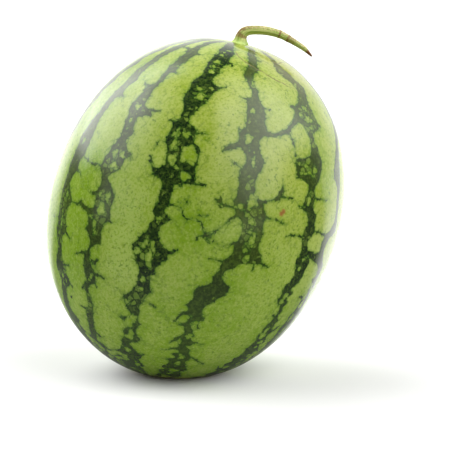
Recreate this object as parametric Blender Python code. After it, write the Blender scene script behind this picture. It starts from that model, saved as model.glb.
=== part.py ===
"""A whole striped watermelon as picked, with its cut stalk, on a small flat spot by its blossom end.

Metres, +Z up. The origin is the centre of the flat spot. The stem end leans to +X, and -Y is the front.
Two solids: the fruit, which grew as one piece, and the stalk, which stands on a level seat at the stem end.
"""

import math

import bmesh
import bpy
from mathutils import Matrix, Vector

# The fruit's own size
FRUIT_LENGTH = 0.292
FRUIT_WIDTH = 0.240
SHOULDER_BULGE = 0.0064  # fullness between the ends and the middle, as a share of the radius

# How it stands: the long axis leans from the upright, and the stem grew a little off that axis
LONG_AXIS_LEAN = math.radians(19.3)
STEM_LEAN = math.radians(14.9)
FLAT_SPOT_RADIUS = 0.028
FLAT_SPOT_BLEND = 0.0012  # height over which the skin runs into the flat spot

# Relief of the skin: each hollow has a depth and a reach, as an angle at the fruit's centre
STEM_HOLLOW_DEPTH = 0.0025
STEM_HOLLOW_REACH = math.radians(13.7)
BLOSSOM_HOLLOW_DEPTH = 0.0022
BLOSSOM_HOLLOW_REACH = math.radians(6.5)
BLOSSOM_BUTTON_HEIGHT = 0.0016
BLOSSOM_BUTTON_REACH = math.radians(1.7)
RIB_COUNT = 11
RIB_HEIGHT = 0.0004
LUMP_HEIGHT = 0.0007
LUMP_TURN = 0.6  # where the larger lumps lie round the stem, in radians
SMALL_LUMP_SHARE = 0.6
SMALL_LUMP_TWIST = 2.2  # how far the smaller lumps wind round on their way from the stem

# The level seat at the stem end, and the gap that keeps the stalk clear of it
SEAT_RADIUS = 0.0085
SEAT_GAP = 0.0003

# The stalk's route, right and up from its foot as seen from the front, with its radius there
STALK_ROUTE = (
    ((0.0000, 0.0000), 0.0064),
    ((0.0004, 0.0026), 0.0052),
    ((0.0012, 0.0056), 0.0045),
    ((0.0036, 0.0088), 0.0041),
    ((0.0088, 0.0105), 0.0037),
    ((0.0178, 0.0105), 0.0036),
    ((0.0260, 0.0092), 0.0034),
    ((0.0344, 0.0066), 0.0031),
    ((0.0432, 0.0018), 0.0026),
    ((0.0514, -0.0033), 0.0021),
    ((0.0560, -0.0066), 0.0016),
    ((0.0602, -0.0102), 0.0005),
)
STALK_FORWARD_SWAY = 0.003  # how far the tip comes to the front, out of the plane of the bend
STALK_RIDGES = 5
STALK_RIDGE_SHARE = 0.09  # height of the lengthwise ridges, as a share of the stalk's radius
STALK_NODE_PLACES = (0.20, 0.6225, 0.695)  # dried rings across the stalk, along its length from 0 to 1
STALK_NODE_HEIGHT = 0.0003
STALK_NODE_REACH = 0.012

# How finely the solids are faceted
RINGS = 42
SEGMENTS = 80
STALK_RINGS = 46
STALK_SIDES = 20
RING_CROWDING = 0.45  # how much closer together the fruit's rings lie near both ends, from 0 to 1
LOWEST_POINT_STEPS = 1440
SEAT_EDGE_MARGIN = 1e-4  # angle within which a point counts as on the seat's edge
MERGE_DISTANCE = 1e-6
SMALLEST_STALK_RADIUS = 0.0004
SHARP_EDGE_ANGLE = math.radians(35)

FRUIT_COLOUR = (0.36, 0.50, 0.10, 1.0)
STALK_COLOUR = (0.34, 0.43, 0.12, 1.0)


def clear_scene():
    """Removes whatever the file was opened with."""
    for item in list(bpy.data.objects):
        bpy.data.objects.remove(item, do_unlink=True)


def plain_material(name, colour, roughness):
    """A dielectric finish of one colour."""
    material = bpy.data.materials.new(name)
    material.use_nodes = True
    shader = material.node_tree.nodes["Principled BSDF"]
    shader.inputs["Base Color"].default_value = colour
    shader.inputs["Roughness"].default_value = roughness
    shader.inputs["Metallic"].default_value = 0.0
    return material


def smooth_hill(angle, reach):
    """1 at an angle of 0, falling smoothly to 0 past the reach."""
    return math.exp(-((angle / reach) ** 2))


def direction(polar, around):
    """Unit vector at this angle from the stem and this angle round it from +X, in the fruit's frame."""
    return Vector(
        (math.sin(polar) * math.cos(around), math.sin(polar) * math.sin(around), math.cos(polar))
    )


def skin_radius(polar, around):
    """Distance from the fruit's centre to its skin in that direction."""
    skew = LONG_AXIS_LEAN - STEM_LEAN
    along = direction(polar, around).dot(Vector((math.sin(skew), 0.0, math.cos(skew))))
    from_axis = math.acos(max(-1.0, min(1.0, along)))
    oval = 1.0 / math.hypot(
        math.cos(from_axis) / (FRUIT_LENGTH / 2), math.sin(from_axis) / (FRUIT_WIDTH / 2)
    )
    oval *= 1.0 + SHOULDER_BULGE * (1.0 - math.cos(4.0 * from_axis))
    belly = math.sin(polar) ** 2
    ribs = RIB_HEIGHT * belly * math.cos(RIB_COUNT * around)
    lumps = LUMP_HEIGHT * belly * (
        math.sin(2.0 * around + LUMP_TURN)
        + SMALL_LUMP_SHARE * math.sin(3.0 * around + SMALL_LUMP_TWIST * polar)
    )
    from_blossom = math.pi - polar
    ends = (
        STEM_HOLLOW_DEPTH * smooth_hill(polar, STEM_HOLLOW_REACH)
        + BLOSSOM_HOLLOW_DEPTH * smooth_hill(from_blossom, BLOSSOM_HOLLOW_REACH)
        - BLOSSOM_BUTTON_HEIGHT * smooth_hill(from_blossom, BLOSSOM_BUTTON_REACH)
    )
    return oval + ribs + lumps - ends


def lowest_point():
    """The lowest point of the leaning skin before it is flattened, from the fruit's centre."""
    turn = leaning()
    steps = LOWEST_POINT_STEPS
    lower_half = (math.pi * step / steps for step in range(steps // 2, steps + 1))
    points = (turn @ (direction(polar, 0.0) * skin_radius(polar, 0.0)) for polar in lower_half)
    return min(points, key=lambda point: point.z)


def leaning():
    """Turns the fruit's frame, with the stem along +Z, to how it stands."""
    return Matrix.Rotation(STEM_LEAN, 3, "Y")


def flat_spot_depth():
    """How far the flat spot lies above the lowest point of the unflattened skin, for the wanted radius."""
    end_curvature_radius = (FRUIT_WIDTH / 2) ** 2 / (FRUIT_LENGTH / 2)
    return FLAT_SPOT_RADIUS**2 / (2.0 * end_curvature_radius) + FLAT_SPOT_BLEND


def fruit_centre():
    """The fruit's centre, from the centre of the flat spot."""
    low = lowest_point()
    return Vector((-low.x, 0.0, -low.z - flat_spot_depth()))


def settle(point):
    """Presses a point that would lie below the surface up to it, with a short run-in above it."""
    height = point.z
    if height >= FLAT_SPOT_BLEND:
        return point
    if height <= -FLAT_SPOT_BLEND:
        height = 0.0
    else:
        height = (height + FLAT_SPOT_BLEND) ** 2 / (4.0 * FLAT_SPOT_BLEND)
    return Vector((point.x, point.y, height))


def seat_polar():
    """Angle from the stem to the edge of the level seat."""
    return math.asin(SEAT_RADIUS / skin_radius(0.0, 0.0))


def seat_height():
    """Height of the level seat above the fruit's centre, along the stem."""
    return skin_radius(seat_polar(), 0.0) * math.cos(seat_polar())


def ring_polar(ring):
    """Angle from the stem to a ring of points, with the rings closer together near both ends."""
    share = ring / RINGS
    share -= RING_CROWDING * math.sin(2.0 * math.pi * share) / (2.0 * math.pi)
    return seat_polar() + (math.pi - seat_polar()) * share


def build_fruit(centre):
    """The fruit: a profile spun about the stem's axis, pushed out to the skin and set on its flat spot."""
    bm = bmesh.new()
    profile = [
        bm.verts.new(direction(ring_polar(ring), 0.0) * skin_radius(ring_polar(ring), 0.0))
        for ring in range(RINGS + 1)
    ]
    edges = [bm.edges.new(pair) for pair in zip(profile, profile[1:])]
    bmesh.ops.spin(
        bm,
        geom=profile + edges,
        cent=(0, 0, 0),
        axis=(0, 0, 1),
        angle=2.0 * math.pi,
        steps=SEGMENTS,
        use_merge=True,
    )
    bmesh.ops.remove_doubles(bm, verts=bm.verts, dist=MERGE_DISTANCE)
    turn = leaning()
    top = seat_height()
    for vert in bm.verts:
        polar = math.acos(max(-1.0, min(1.0, vert.co.normalized().z)))
        around = math.atan2(vert.co.y, vert.co.x)
        place = direction(polar, around) * skin_radius(polar, around)
        if polar < seat_polar() + SEAT_EDGE_MARGIN:
            place.z = top
        vert.co = settle(centre + turn @ place)
    bmesh.ops.holes_fill(bm, edges=[edge for edge in bm.edges if edge.is_boundary])
    flat = [face for face in bm.faces if max(vert.co.z for vert in face.verts) == 0.0]
    bmesh.ops.dissolve_faces(bm, faces=flat, use_verts=True)
    return finish_mesh("watermelon_fruit", bm, plain_material("rind", FRUIT_COLOUR, 0.4))


def stalk_station(share):
    """Centre and radius of the stalk at a share of its route, by a smooth curve through the route."""
    last = len(STALK_ROUTE) - 1
    place = share * last
    start = min(int(place), last - 1)
    blend = place - start
    knots = [STALK_ROUTE[max(0, min(last, start + offset))] for offset in (-1, 0, 1, 2)]
    weights = (
        0.5 * (-(blend**3) + 2.0 * blend**2 - blend),
        0.5 * (3.0 * blend**3 - 5.0 * blend**2 + 2.0),
        0.5 * (-3.0 * blend**3 + 4.0 * blend**2 + blend),
        0.5 * (blend**3 - blend**2),
    )
    right = sum(weight * knot[0][0] for weight, knot in zip(weights, knots))
    up = sum(weight * knot[0][1] for weight, knot in zip(weights, knots))
    radius = sum(weight * knot[1] for weight, knot in zip(weights, knots))
    return Vector((right, -STALK_FORWARD_SWAY * share**2, up)), max(radius, SMALLEST_STALK_RADIUS)


def stalk_node_swell(share):
    """How far the dried rings stand out at a share of the stalk's length."""
    return STALK_NODE_HEIGHT * sum(
        smooth_hill(share - place, STALK_NODE_REACH) for place in STALK_NODE_PLACES
    )


def stalk_frame(share, foot_direction):
    """Centre, radius, and the two directions across the stalk at a share of its route. The foot is level."""
    step = 1e-3
    middle, radius = stalk_station(share)
    if share == 0.0:
        along = foot_direction
    else:
        along = stalk_station(min(1.0, share + step))[0] - stalk_station(share - step)[0]
    along.normalize()
    back = Vector((0.0, 1.0, 0.0))
    back = (back - along * back.dot(along)).normalized()
    return middle, radius, back.cross(along), back


def build_stalk(centre):
    """The stalk: a straight tube whose rings are carried to their places on the bend, with its ridges."""
    turn = leaning()
    foot = centre + turn @ Vector((0.0, 0.0, seat_height() + SEAT_GAP))
    bm = bmesh.new()
    bmesh.ops.create_circle(bm, segments=STALK_SIDES, radius=1.0)
    bmesh.ops.spin(
        bm,
        geom=bm.verts[:] + bm.edges[:],
        cent=(0, 0, 0),
        axis=(0, 0, 1),
        dvec=(0, 0, 1.0 / STALK_RINGS),
        angle=0.0,
        steps=STALK_RINGS,
    )
    bmesh.ops.holes_fill(bm, edges=[edge for edge in bm.edges if edge.is_boundary])
    for vert in bm.verts:
        share = max(0.0, round(vert.co.z * STALK_RINGS) / STALK_RINGS)
        angle = math.atan2(vert.co.y, vert.co.x)
        middle, radius, right, back = stalk_frame(share, turn @ Vector((0.0, 0.0, 1.0)))
        ridge = STALK_RIDGE_SHARE * (1.0 - share) * math.cos(STALK_RIDGES * angle)
        reach = radius * (1.0 + ridge) + stalk_node_swell(share)
        vert.co = foot + middle + (right * math.cos(angle) + back * math.sin(angle)) * reach
    return finish_mesh("watermelon_stalk", bm, plain_material("stalk", STALK_COLOUR, 0.6))


def finish_mesh(name, bm, material):
    """Makes the object, with its faces outwards and smooth shading apart from its sharp edges."""
    bm.normal_update()
    bmesh.ops.recalc_face_normals(bm, faces=bm.faces)
    mesh = bpy.data.meshes.new(name)
    bm.to_mesh(mesh)
    bm.free()
    mesh.materials.append(material)
    mesh.shade_smooth()
    mesh.set_sharp_from_angle(angle=SHARP_EDGE_ANGLE)
    item = bpy.data.objects.new(name, mesh)
    bpy.context.scene.collection.objects.link(item)
    return item


def main():
    """Builds the two solids in place."""
    clear_scene()
    centre = fruit_centre()
    build_fruit(centre)
    build_stalk(centre)


main()
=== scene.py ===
"""Looks of a whole striped watermelon: its netted rind, its cut stalk, and the studio it stands in.

Metres, +Z up. The fruit stands on its flat spot at the origin, its stem end leans to +X, and -Y is the front.
Places on the rind are given as degrees from the stem and degrees round the stem from +X.
"""

import math
import random

import bmesh
import bpy
import numpy as np
from mathutils import Matrix, Vector, noise


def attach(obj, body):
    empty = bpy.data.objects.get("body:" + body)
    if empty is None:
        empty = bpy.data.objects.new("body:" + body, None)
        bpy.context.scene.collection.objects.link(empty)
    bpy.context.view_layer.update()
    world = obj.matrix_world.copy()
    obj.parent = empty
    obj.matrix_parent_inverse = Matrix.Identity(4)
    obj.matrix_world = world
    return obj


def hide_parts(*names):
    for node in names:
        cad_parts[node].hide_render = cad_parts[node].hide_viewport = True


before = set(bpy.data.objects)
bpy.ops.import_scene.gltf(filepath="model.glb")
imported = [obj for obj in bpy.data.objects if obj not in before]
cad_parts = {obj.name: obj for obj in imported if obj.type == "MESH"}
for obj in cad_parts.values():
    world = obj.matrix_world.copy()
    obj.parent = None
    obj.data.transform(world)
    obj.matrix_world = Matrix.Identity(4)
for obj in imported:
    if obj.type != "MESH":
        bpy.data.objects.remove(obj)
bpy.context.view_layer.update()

bl_info = {
    "name": "Whole Watermelon",
    "version": (1, 0, 0),
    "blender": (4, 5, 0),
    "location": "View3D > Sidebar > Melon",
    "description": "Makes a striped watermelon's rind and stalk round its solid frame",
    "category": "Add Mesh",
}

FRUIT_NODE = "watermelon_fruit"
STALK_NODE = "watermelon_stalk"
BODY = "root"

# The fruit's size and stance, as the solid has them
FRUIT_LENGTH = 0.292
FRUIT_WIDTH = 0.240
SHOULDER_BULGE = 0.0064
LONG_AXIS_LEAN = math.radians(19.3)
STEM_LEAN = math.radians(14.9)
FLAT_SPOT_RADIUS = 0.028
FLAT_SPOT_BLEND = 0.0012
STEM_HOLLOW_DEPTH = 0.0025
STEM_HOLLOW_REACH = math.radians(13.7)
BLOSSOM_HOLLOW_DEPTH = 0.0022
BLOSSOM_HOLLOW_REACH = math.radians(6.5)
BLOSSOM_BUTTON_HEIGHT = 0.0016
BLOSSOM_BUTTON_REACH = math.radians(1.7)
RIB_COUNT = 11
RIB_HEIGHT = 0.0004
LUMP_HEIGHT = 0.0007
LUMP_TURN = 0.6
SMALL_LUMP_SHARE = 0.6
SMALL_LUMP_TWIST = 2.2
SEAT_RADIUS = 0.0085
LOWEST_POINT_STEPS = 720
MM = 1000.0
MM_PER_DEGREE_DOWN = math.radians(1) * FRUIT_LENGTH / 2 * MM
MM_PER_DEGREE_ROUND = math.radians(1) * FRUIT_WIDTH / 2 * MM

# Mesh and fine relief of the rind
RIND_RINGS = 110
RIND_SEGMENTS = 170
FRONT = -math.pi / 2
FRONT_CROWDING = 0.35
FIRST_REFINED_MM = 2.0
NEXT_REFINED_MM = 0.8
SWELL_HEIGHT = 0.00022
SWELL_SIZE = 0.028
CREASE_DEPTH = 0.00035
CREASE_WIDTH_MM = 0.8

# The stalk's route, right and up from its foot as seen from the front, with its radius there
STALK_ROUTE = (
    ((0.0000, 0.0000), 0.0064),
    ((0.0004, 0.0026), 0.0052),
    ((0.0012, 0.0056), 0.0045),
    ((0.0036, 0.0088), 0.0041),
    ((0.0088, 0.0105), 0.0037),
    ((0.0178, 0.0105), 0.0036),
    ((0.0260, 0.0092), 0.0034),
    ((0.0344, 0.0066), 0.0031),
    ((0.0432, 0.0018), 0.0026),
    ((0.0514, -0.0033), 0.0022),
    ((0.0560, -0.0066), 0.0020),
    ((0.0602, -0.0102), 0.0017),
)
STALK_FORWARD_SWAY = 0.003
STALK_RINGS = 220
STALK_SIDES = 60
STALK_SMALLEST_RADIUS = 0.0004
STALK_DIRECTION_STEP = 1e-3
STALK_RIDGES = 5
STALK_RIDGE_SHARE = 0.10
STALK_RIDGE_FADE = 0.7
STALK_RIDGE_TWIST = 1.1
STALK_FURROW_SHARE = 0.025
STALK_FURROW_TURN = 0.7
STALK_FLARE_REACH = 0.0022
STALK_FLARE_LENGTH = 0.022
STALK_FLARE_RIBS = 0.35
STALK_FLARE_LOPSIDED = 0.85
STALK_FLARE_SINK = 0.0012
STALK_SINK_LENGTH = 0.008
STALK_NODES = (0.6225, 0.695)
STALK_NODE_HEIGHT = 0.00042
STALK_NODE_REACH = 0.011
STALK_CRACK_DEPTH = 0.00038
STALK_CRACK_REACH = 0.003
STALK_CRACK_WANDER = 0.0015
STALK_GRAIN_LENGTH = 1.6
STALK_CUT_POINT = (0.0575, -0.0026, -0.0073)
STALK_CUT_NORMAL = (0.80, -0.12, 0.58)
STALK_CUT_RIM = 0.0003
STALK_CUT_HOLLOW = 0.0002
STALK_SHARP_ANGLE = math.radians(50)

# Dried brown places along the stalk: share of its length, reach along it, strength
STALK_BROWNINGS = ((0.19, 0.06, 0.7), (0.6225, 0.010, 0.9), (0.695, 0.013, 0.9), (0.73, 0.035, 0.45))

# Stripes that the front shows, each as rows of (degrees from the stem, left edge, right edge)
DARK_STRIPE = (
    (5, -112, -103), (8, -114, -101), (12, -113, -98.5), (15, -109.3, -96.8), (18, -110, -93.6),
    (20, -107.7, -93.6), (21.5, -107.5, -94.8), (23, -109.3, -95.2), (25, -109.5, -94.6),
    (26.5, -109.3, -96.8), (28, -108.9, -98.2), (30, -108.2, -98.9), (31.5, -108, -98.6),
    (33.5, -107.9, -100.2), (35, -109.1, -100.7), (36, -110.1, -99.8), (37, -110.4, -98.2),
    (38.2, -110.4, -96.4), (39, -110.4, -96.2), (40, -110.4, -97.3), (41.5, -110.5, -97.7),
    (43, -110.7, -98.9), (45, -110.9, -100.2), (47, -109.1, -101.6), (49, -108.2, -102.7),
    (51, -108, -103.6), (53, -107.7, -103.6), (54, -109.5, -101.8), (55, -110, -99.1), (57, -109.5, -98.9),
    (59, -110, -99.1), (60, -110, -98.8), (62, -110.2, -102), (64, -108.4, -102.3), (66, -107.5, -101.8),
    (67.2, -107.4, -99), (68, -107.3, -95), (70, -106.8, -94.8), (72, -109.1, -94.5), (73, -109.8, -93.8),
    (74, -110.2, -94.2), (75, -108.2, -97.7), (76, -106.4, -101.1), (78, -105.5, -101.3),
    (80, -105.4, -101.1), (82, -105.4, -101.1), (83.5, -105.4, -100.9), (85, -105.7, -101.8),
    (87, -106.3, -101.8), (88, -105.7, -100), (89, -105, -99.3), (90.5, -104.9, -100.9),
    (92, -105.7, -101.6), (94, -106, -102.3), (96, -107, -101.8), (98, -108.9, -100.7),
    (100, -109.3, -98.2), (101, -110.5, -96), (102, -110.8, -96.6), (104, -110.2, -97),
    (106, -109.3, -98.6), (108, -107.7, -99.8), (110, -106.4, -100), (111, -106, -101.6),
    (113, -105.7, -101.6), (115, -106.1, -100.7), (117, -106.4, -100.1), (119, -107.5, -100.5),
    (120, -108.6, -101.6), (122, -110.9, -101.8), (124, -110.9, -103.6), (126, -109.5, -103.4),
)
MIDDLE_STRIPE = (
    (7, -70, -63), (10, -71.4, -62), (12, -75.5, -64), (15, -77.3, -69), (16.8, -79.5, -69.5),
    (18, -77.7, -69.1), (19.5, -78.2, -68.6), (20.5, -78.4, -70.8), (22, -78.6, -72), (24, -79.5, -71.8),
    (25, -80.2, -70.2), (26, -81.1, -73.6), (28, -82.3, -75), (29.5, -82.5, -76.1), (31, -80.2, -75.9),
    (33, -78.9, -75), (35, -77, -73.6), (37, -76.6, -73), (38.5, -77.5, -72.3), (40, -79.5, -71.1),
    (41, -79.1, -69.3), (42, -78.9, -69.5), (44, -78.6, -69.3), (46, -78.4, -69.3), (48, -78.2, -68.4),
    (50, -78.6, -67.6), (51, -80.7, -68.6), (52, -80.7, -70.7), (54, -80.7, -71.6), (56, -81.2, -71.4),
    (57, -79.5, -71), (58, -77.3, -70.5), (60, -76.1, -68.6), (62, -76.1, -68.6), (64, -76.8, -68.9),
    (65, -78.2, -70.5), (67, -77.5, -70.7), (69, -77, -70.5), (71, -76.8, -70.5), (73, -76.8, -70.6),
    (74.2, -77, -66.4), (75, -77, -65.8), (76.5, -77.5, -65.4), (78.5, -77.3, -64), (80, -76.1, -63.6),
    (81, -75.7, -64.5), (83, -72.7, -64), (85, -71.8, -63.6), (87, -71.6, -63.3), (89, -71.6, -63.7),
    (91, -72, -63.8), (92.5, -73.4, -63), (94, -73, -61.5), (96, -73.4, -60.3), (97.6, -74.6, -60.4),
    (98.5, -75.4, -68.6), (99.5, -75.6, -69.6), (101, -75.9, -71.2), (103, -75.9, -74.1), (105, -77, -74.5),
    (106.5, -77.7, -73.2), (108, -77.3, -71.1), (109, -77.5, -70), (110, -80.4, -69.8), (112, -83.2, -70.8),
    (114, -83.6, -73), (116, -82, -74.5),
)
RIGHT_STRIPE = (
    (10, -46, -39), (14, -47.5, -40.5), (18, -49, -42.5), (20, -50.3, -42.8), (21.3, -51.2, -41.3),
    (23, -52.4, -39.3), (24.4, -51.5, -38.1), (26.3, -46.8, -36.4), (28.2, -42.9, -33.6),
    (29, -42.4, -32.3), (30.7, -41.7, -32.6), (33, -42.5, -35), (34.4, -44, -36.1), (36, -45.8, -36.1),
    (37.7, -48.3, -36.1), (38.5, -50.6, -35.8), (40, -50.9, -35.3), (42, -50.8, -34.9),
    (43.4, -50.6, -34.8), (44.3, -46.2, -34.5), (45.3, -45.2, -34.5), (46, -44.9, -39),
    (46.8, -44.4, -40.3), (48.5, -43.3, -40.8), (50, -43, -40.3), (51.5, -43, -39.3), (53, -43.4, -38.4),
    (55, -44.1, -37.8), (56, -46.5, -37.2), (56.8, -52.6, -37), (59, -52.8, -37), (60.5, -52, -37.3),
    (62, -51.8, -38), (63, -51.3, -38.5), (64, -47, -39.3), (65.5, -45, -40.5), (67, -45, -41.3),
    (69, -45.5, -40.8), (71, -46, -40.8), (72.5, -47, -41), (73.8, -47.4, -41), (75, -45.5, -40),
    (76, -44, -38.5), (78, -42.8, -38.3), (80, -42.3, -38.3), (81.5, -43.3, -37.8), (82.5, -43.8, -37),
    (83.5, -44, -38.5), (84.8, -43.9, -39.5), (86, -43.5, -40), (88, -43, -40), (90, -42.3, -39),
    (92, -42.3, -37.2), (94, -43.3, -35.4), (96, -42.8, -35.5), (98, -42, -36.3), (100, -41.6, -36.6),
    (103, -42.5, -37),
)
LEFT_MIDDLE_STRIPE = (
    (8, -136, -127), (12, -137, -127), (16, -135, -127.5), (19, -134, -127), (21, -133.2, -127.3),
    (23, -135, -124.5), (24.5, -133.8, -122.6), (26, -131.8, -122.7), (28, -131.4, -123.6),
    (30, -130.9, -123.9), (32, -130.7, -124.5), (34, -130.7, -124.8), (35.5, -130.2, -124),
    (37, -129.8, -126.8), (39, -129.3, -126.8), (41, -129.3, -126.8), (43, -129.8, -127.3),
    (44.3, -132, -127.7), (46, -132.7, -127.7), (48, -132.5, -127.5), (50, -133, -127.3),
    (52, -133.4, -126.4), (53, -133.5, -122.6), (54.7, -133.9, -122), (56, -133, -125), (57, -132, -126.8),
    (59, -131.6, -126.8), (61, -131.1, -126.1), (63.3, -130.7, -124.9), (64.5, -130.4, -126.6),
    (66, -130.2, -126.8), (68, -131.1, -125.7), (70, -132, -124.1), (71.5, -132.3, -123),
    (73, -132.5, -124.1), (75, -133.2, -124.3), (77, -133.6, -124.8), (78, -133.9, -125.5),
    (79.5, -132.5, -127.3), (81, -131.4, -128.6), (83, -130.9, -126.8), (84.5, -130.7, -124.8),
    (86, -130.7, -123.6), (87.5, -131.4, -123.2), (88.5, -132, -122.7), (90, -130.9, -123),
    (92, -130.7, -123.6), (94, -131.4, -123), (96, -133.9, -122.4), (98, -132.5, -124.5), (100, -132, -125),
    (102, -132.2, -125), (104, -130.5, -124.3), (106, -129.5, -124.8), (107, -129.5, -127.7),
    (109, -130, -129.1), (110.5, -131, -129), (111.5, -131.8, -129.1), (113, -132, -128.9),
    (115, -132, -127.7), (116.5, -131.8, -126.1), (118, -131.6, -125.4), (120, -130.5, -125.2),
    (121.5, -129.8, -125.4), (122.5, -131.4, -128), (124, -132, -129.1), (125, -130.7, -129.1),
    (127, -130.5, -128.6), (129, -130.2, -127.5), (131, -130.2, -127.3), (133, -131.4, -127.7),
    (135, -133.4, -128.4), (138, -133.6, -129), (140, -134, -130),
)
LEFT_STRIPE = (
    (10, -157, -146), (18, -154, -145), (25, -152, -144), (28, -151.6, -145.5), (32, -150.9, -145.5),
    (36, -150.2, -145.2), (40, -151.4, -145), (42, -150.9, -143.9), (44, -150, -143.2), (46, -150, -145.2),
    (49, -150.2, -145), (51, -151.1, -144.4), (53, -151.6, -147.3), (56, -151.6, -147.7),
    (60, -151.6, -148), (64, -152.7, -147.7), (67, -153.6, -146.8), (69, -154.1, -146.2),
    (71, -154.3, -146.4), (74, -153.9, -146.8), (76.5, -153.6, -145.6), (78.5, -153.6, -147.3),
    (81, -153.5, -147.4), (83, -153.4, -146.6), (85, -153.2, -148), (87, -153, -149.1),
    (89, -153.4, -149.5), (91, -153.4, -148.2), (93, -153.2, -145.9), (94.5, -153.1, -144.6),
    (96.5, -152.7, -145.5), (98, -152.6, -146.6), (100, -152.5, -146.6), (103, -152.5, -146.1),
    (105, -152.3, -145), (107, -152.7, -144.8), (109, -152.3, -147.7), (111, -151.4, -147.7),
    (113.5, -150.7, -147.5), (115.5, -151, -147.7), (118, -152.3, -146.8), (120, -153, -144.2),
    (122, -152.7, -144.8), (124, -151.4, -142.8), (126, -149.8, -141.4), (128, -150.5, -145.5),
    (131, -151.8, -147.7), (134, -153.2, -148.2), (137, -154.5, -149.5),
)
RIGHT_RIM_STRIPE = (
    (10, -10, 2), (16, -9, 2), (25, -8, 0), (35, -8, -1), (42, -9, -3), (47, -14, -8), (50, -18, -14),
    (56, -24, -18), (60, -26, -18.5), (62, -26.3, -19), (65, -22.7, -19), (70, -21.8, -19.2),
    (75, -21.2, -19), (79, -21.4, -17.5), (82, -25, -17), (83.5, -28.5, -20), (85, -29.5, -24),
    (88, -30, -26), (90, -29.5, -25.5), (92, -31, -24.8), (94, -30, -23.5), (97, -25, -20),
)
LEFT_RIM_STRIPE = (
    (10, -172, -160), (16, -170, -158.5), (20, -168, -158), (24, -169, -160), (27, -166.5, -157.5),
    (30, -166, -160), (34, -168.5, -161.5), (37, -166, -159.5), (40, -167, -161.5), (44, -170, -163.5),
    (48, -168.5, -162), (52, -171.5, -165.5), (56, -170, -163.5), (60, -172, -166.5), (64, -174.5, -168),
    (68, -172, -165.5), (72, -174, -168.5), (76, -176.5, -170), (80, -173.5, -168), (85, -175, -170),
)

# Each seen stripe with its tones near the stem and past its middle: 0 is the deepest green and 1 the palest
SEEN_STRIPES = (
    (DARK_STRIPE, 0, 0),
    (MIDDLE_STRIPE, 1, 1.1),
    (RIGHT_STRIPE, 1.05, 0.2),
    (LEFT_MIDDLE_STRIPE, 0.75, 0.7),
    (LEFT_STRIPE, 1, 0.85),
    (RIGHT_RIM_STRIPE, 0.9, 0.9),
    (LEFT_RIM_STRIPE, 1, 1),
)
TONE_TURNS_FROM_STEM = (36, 76)
TONE_REACH_MM = 3.0

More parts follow.
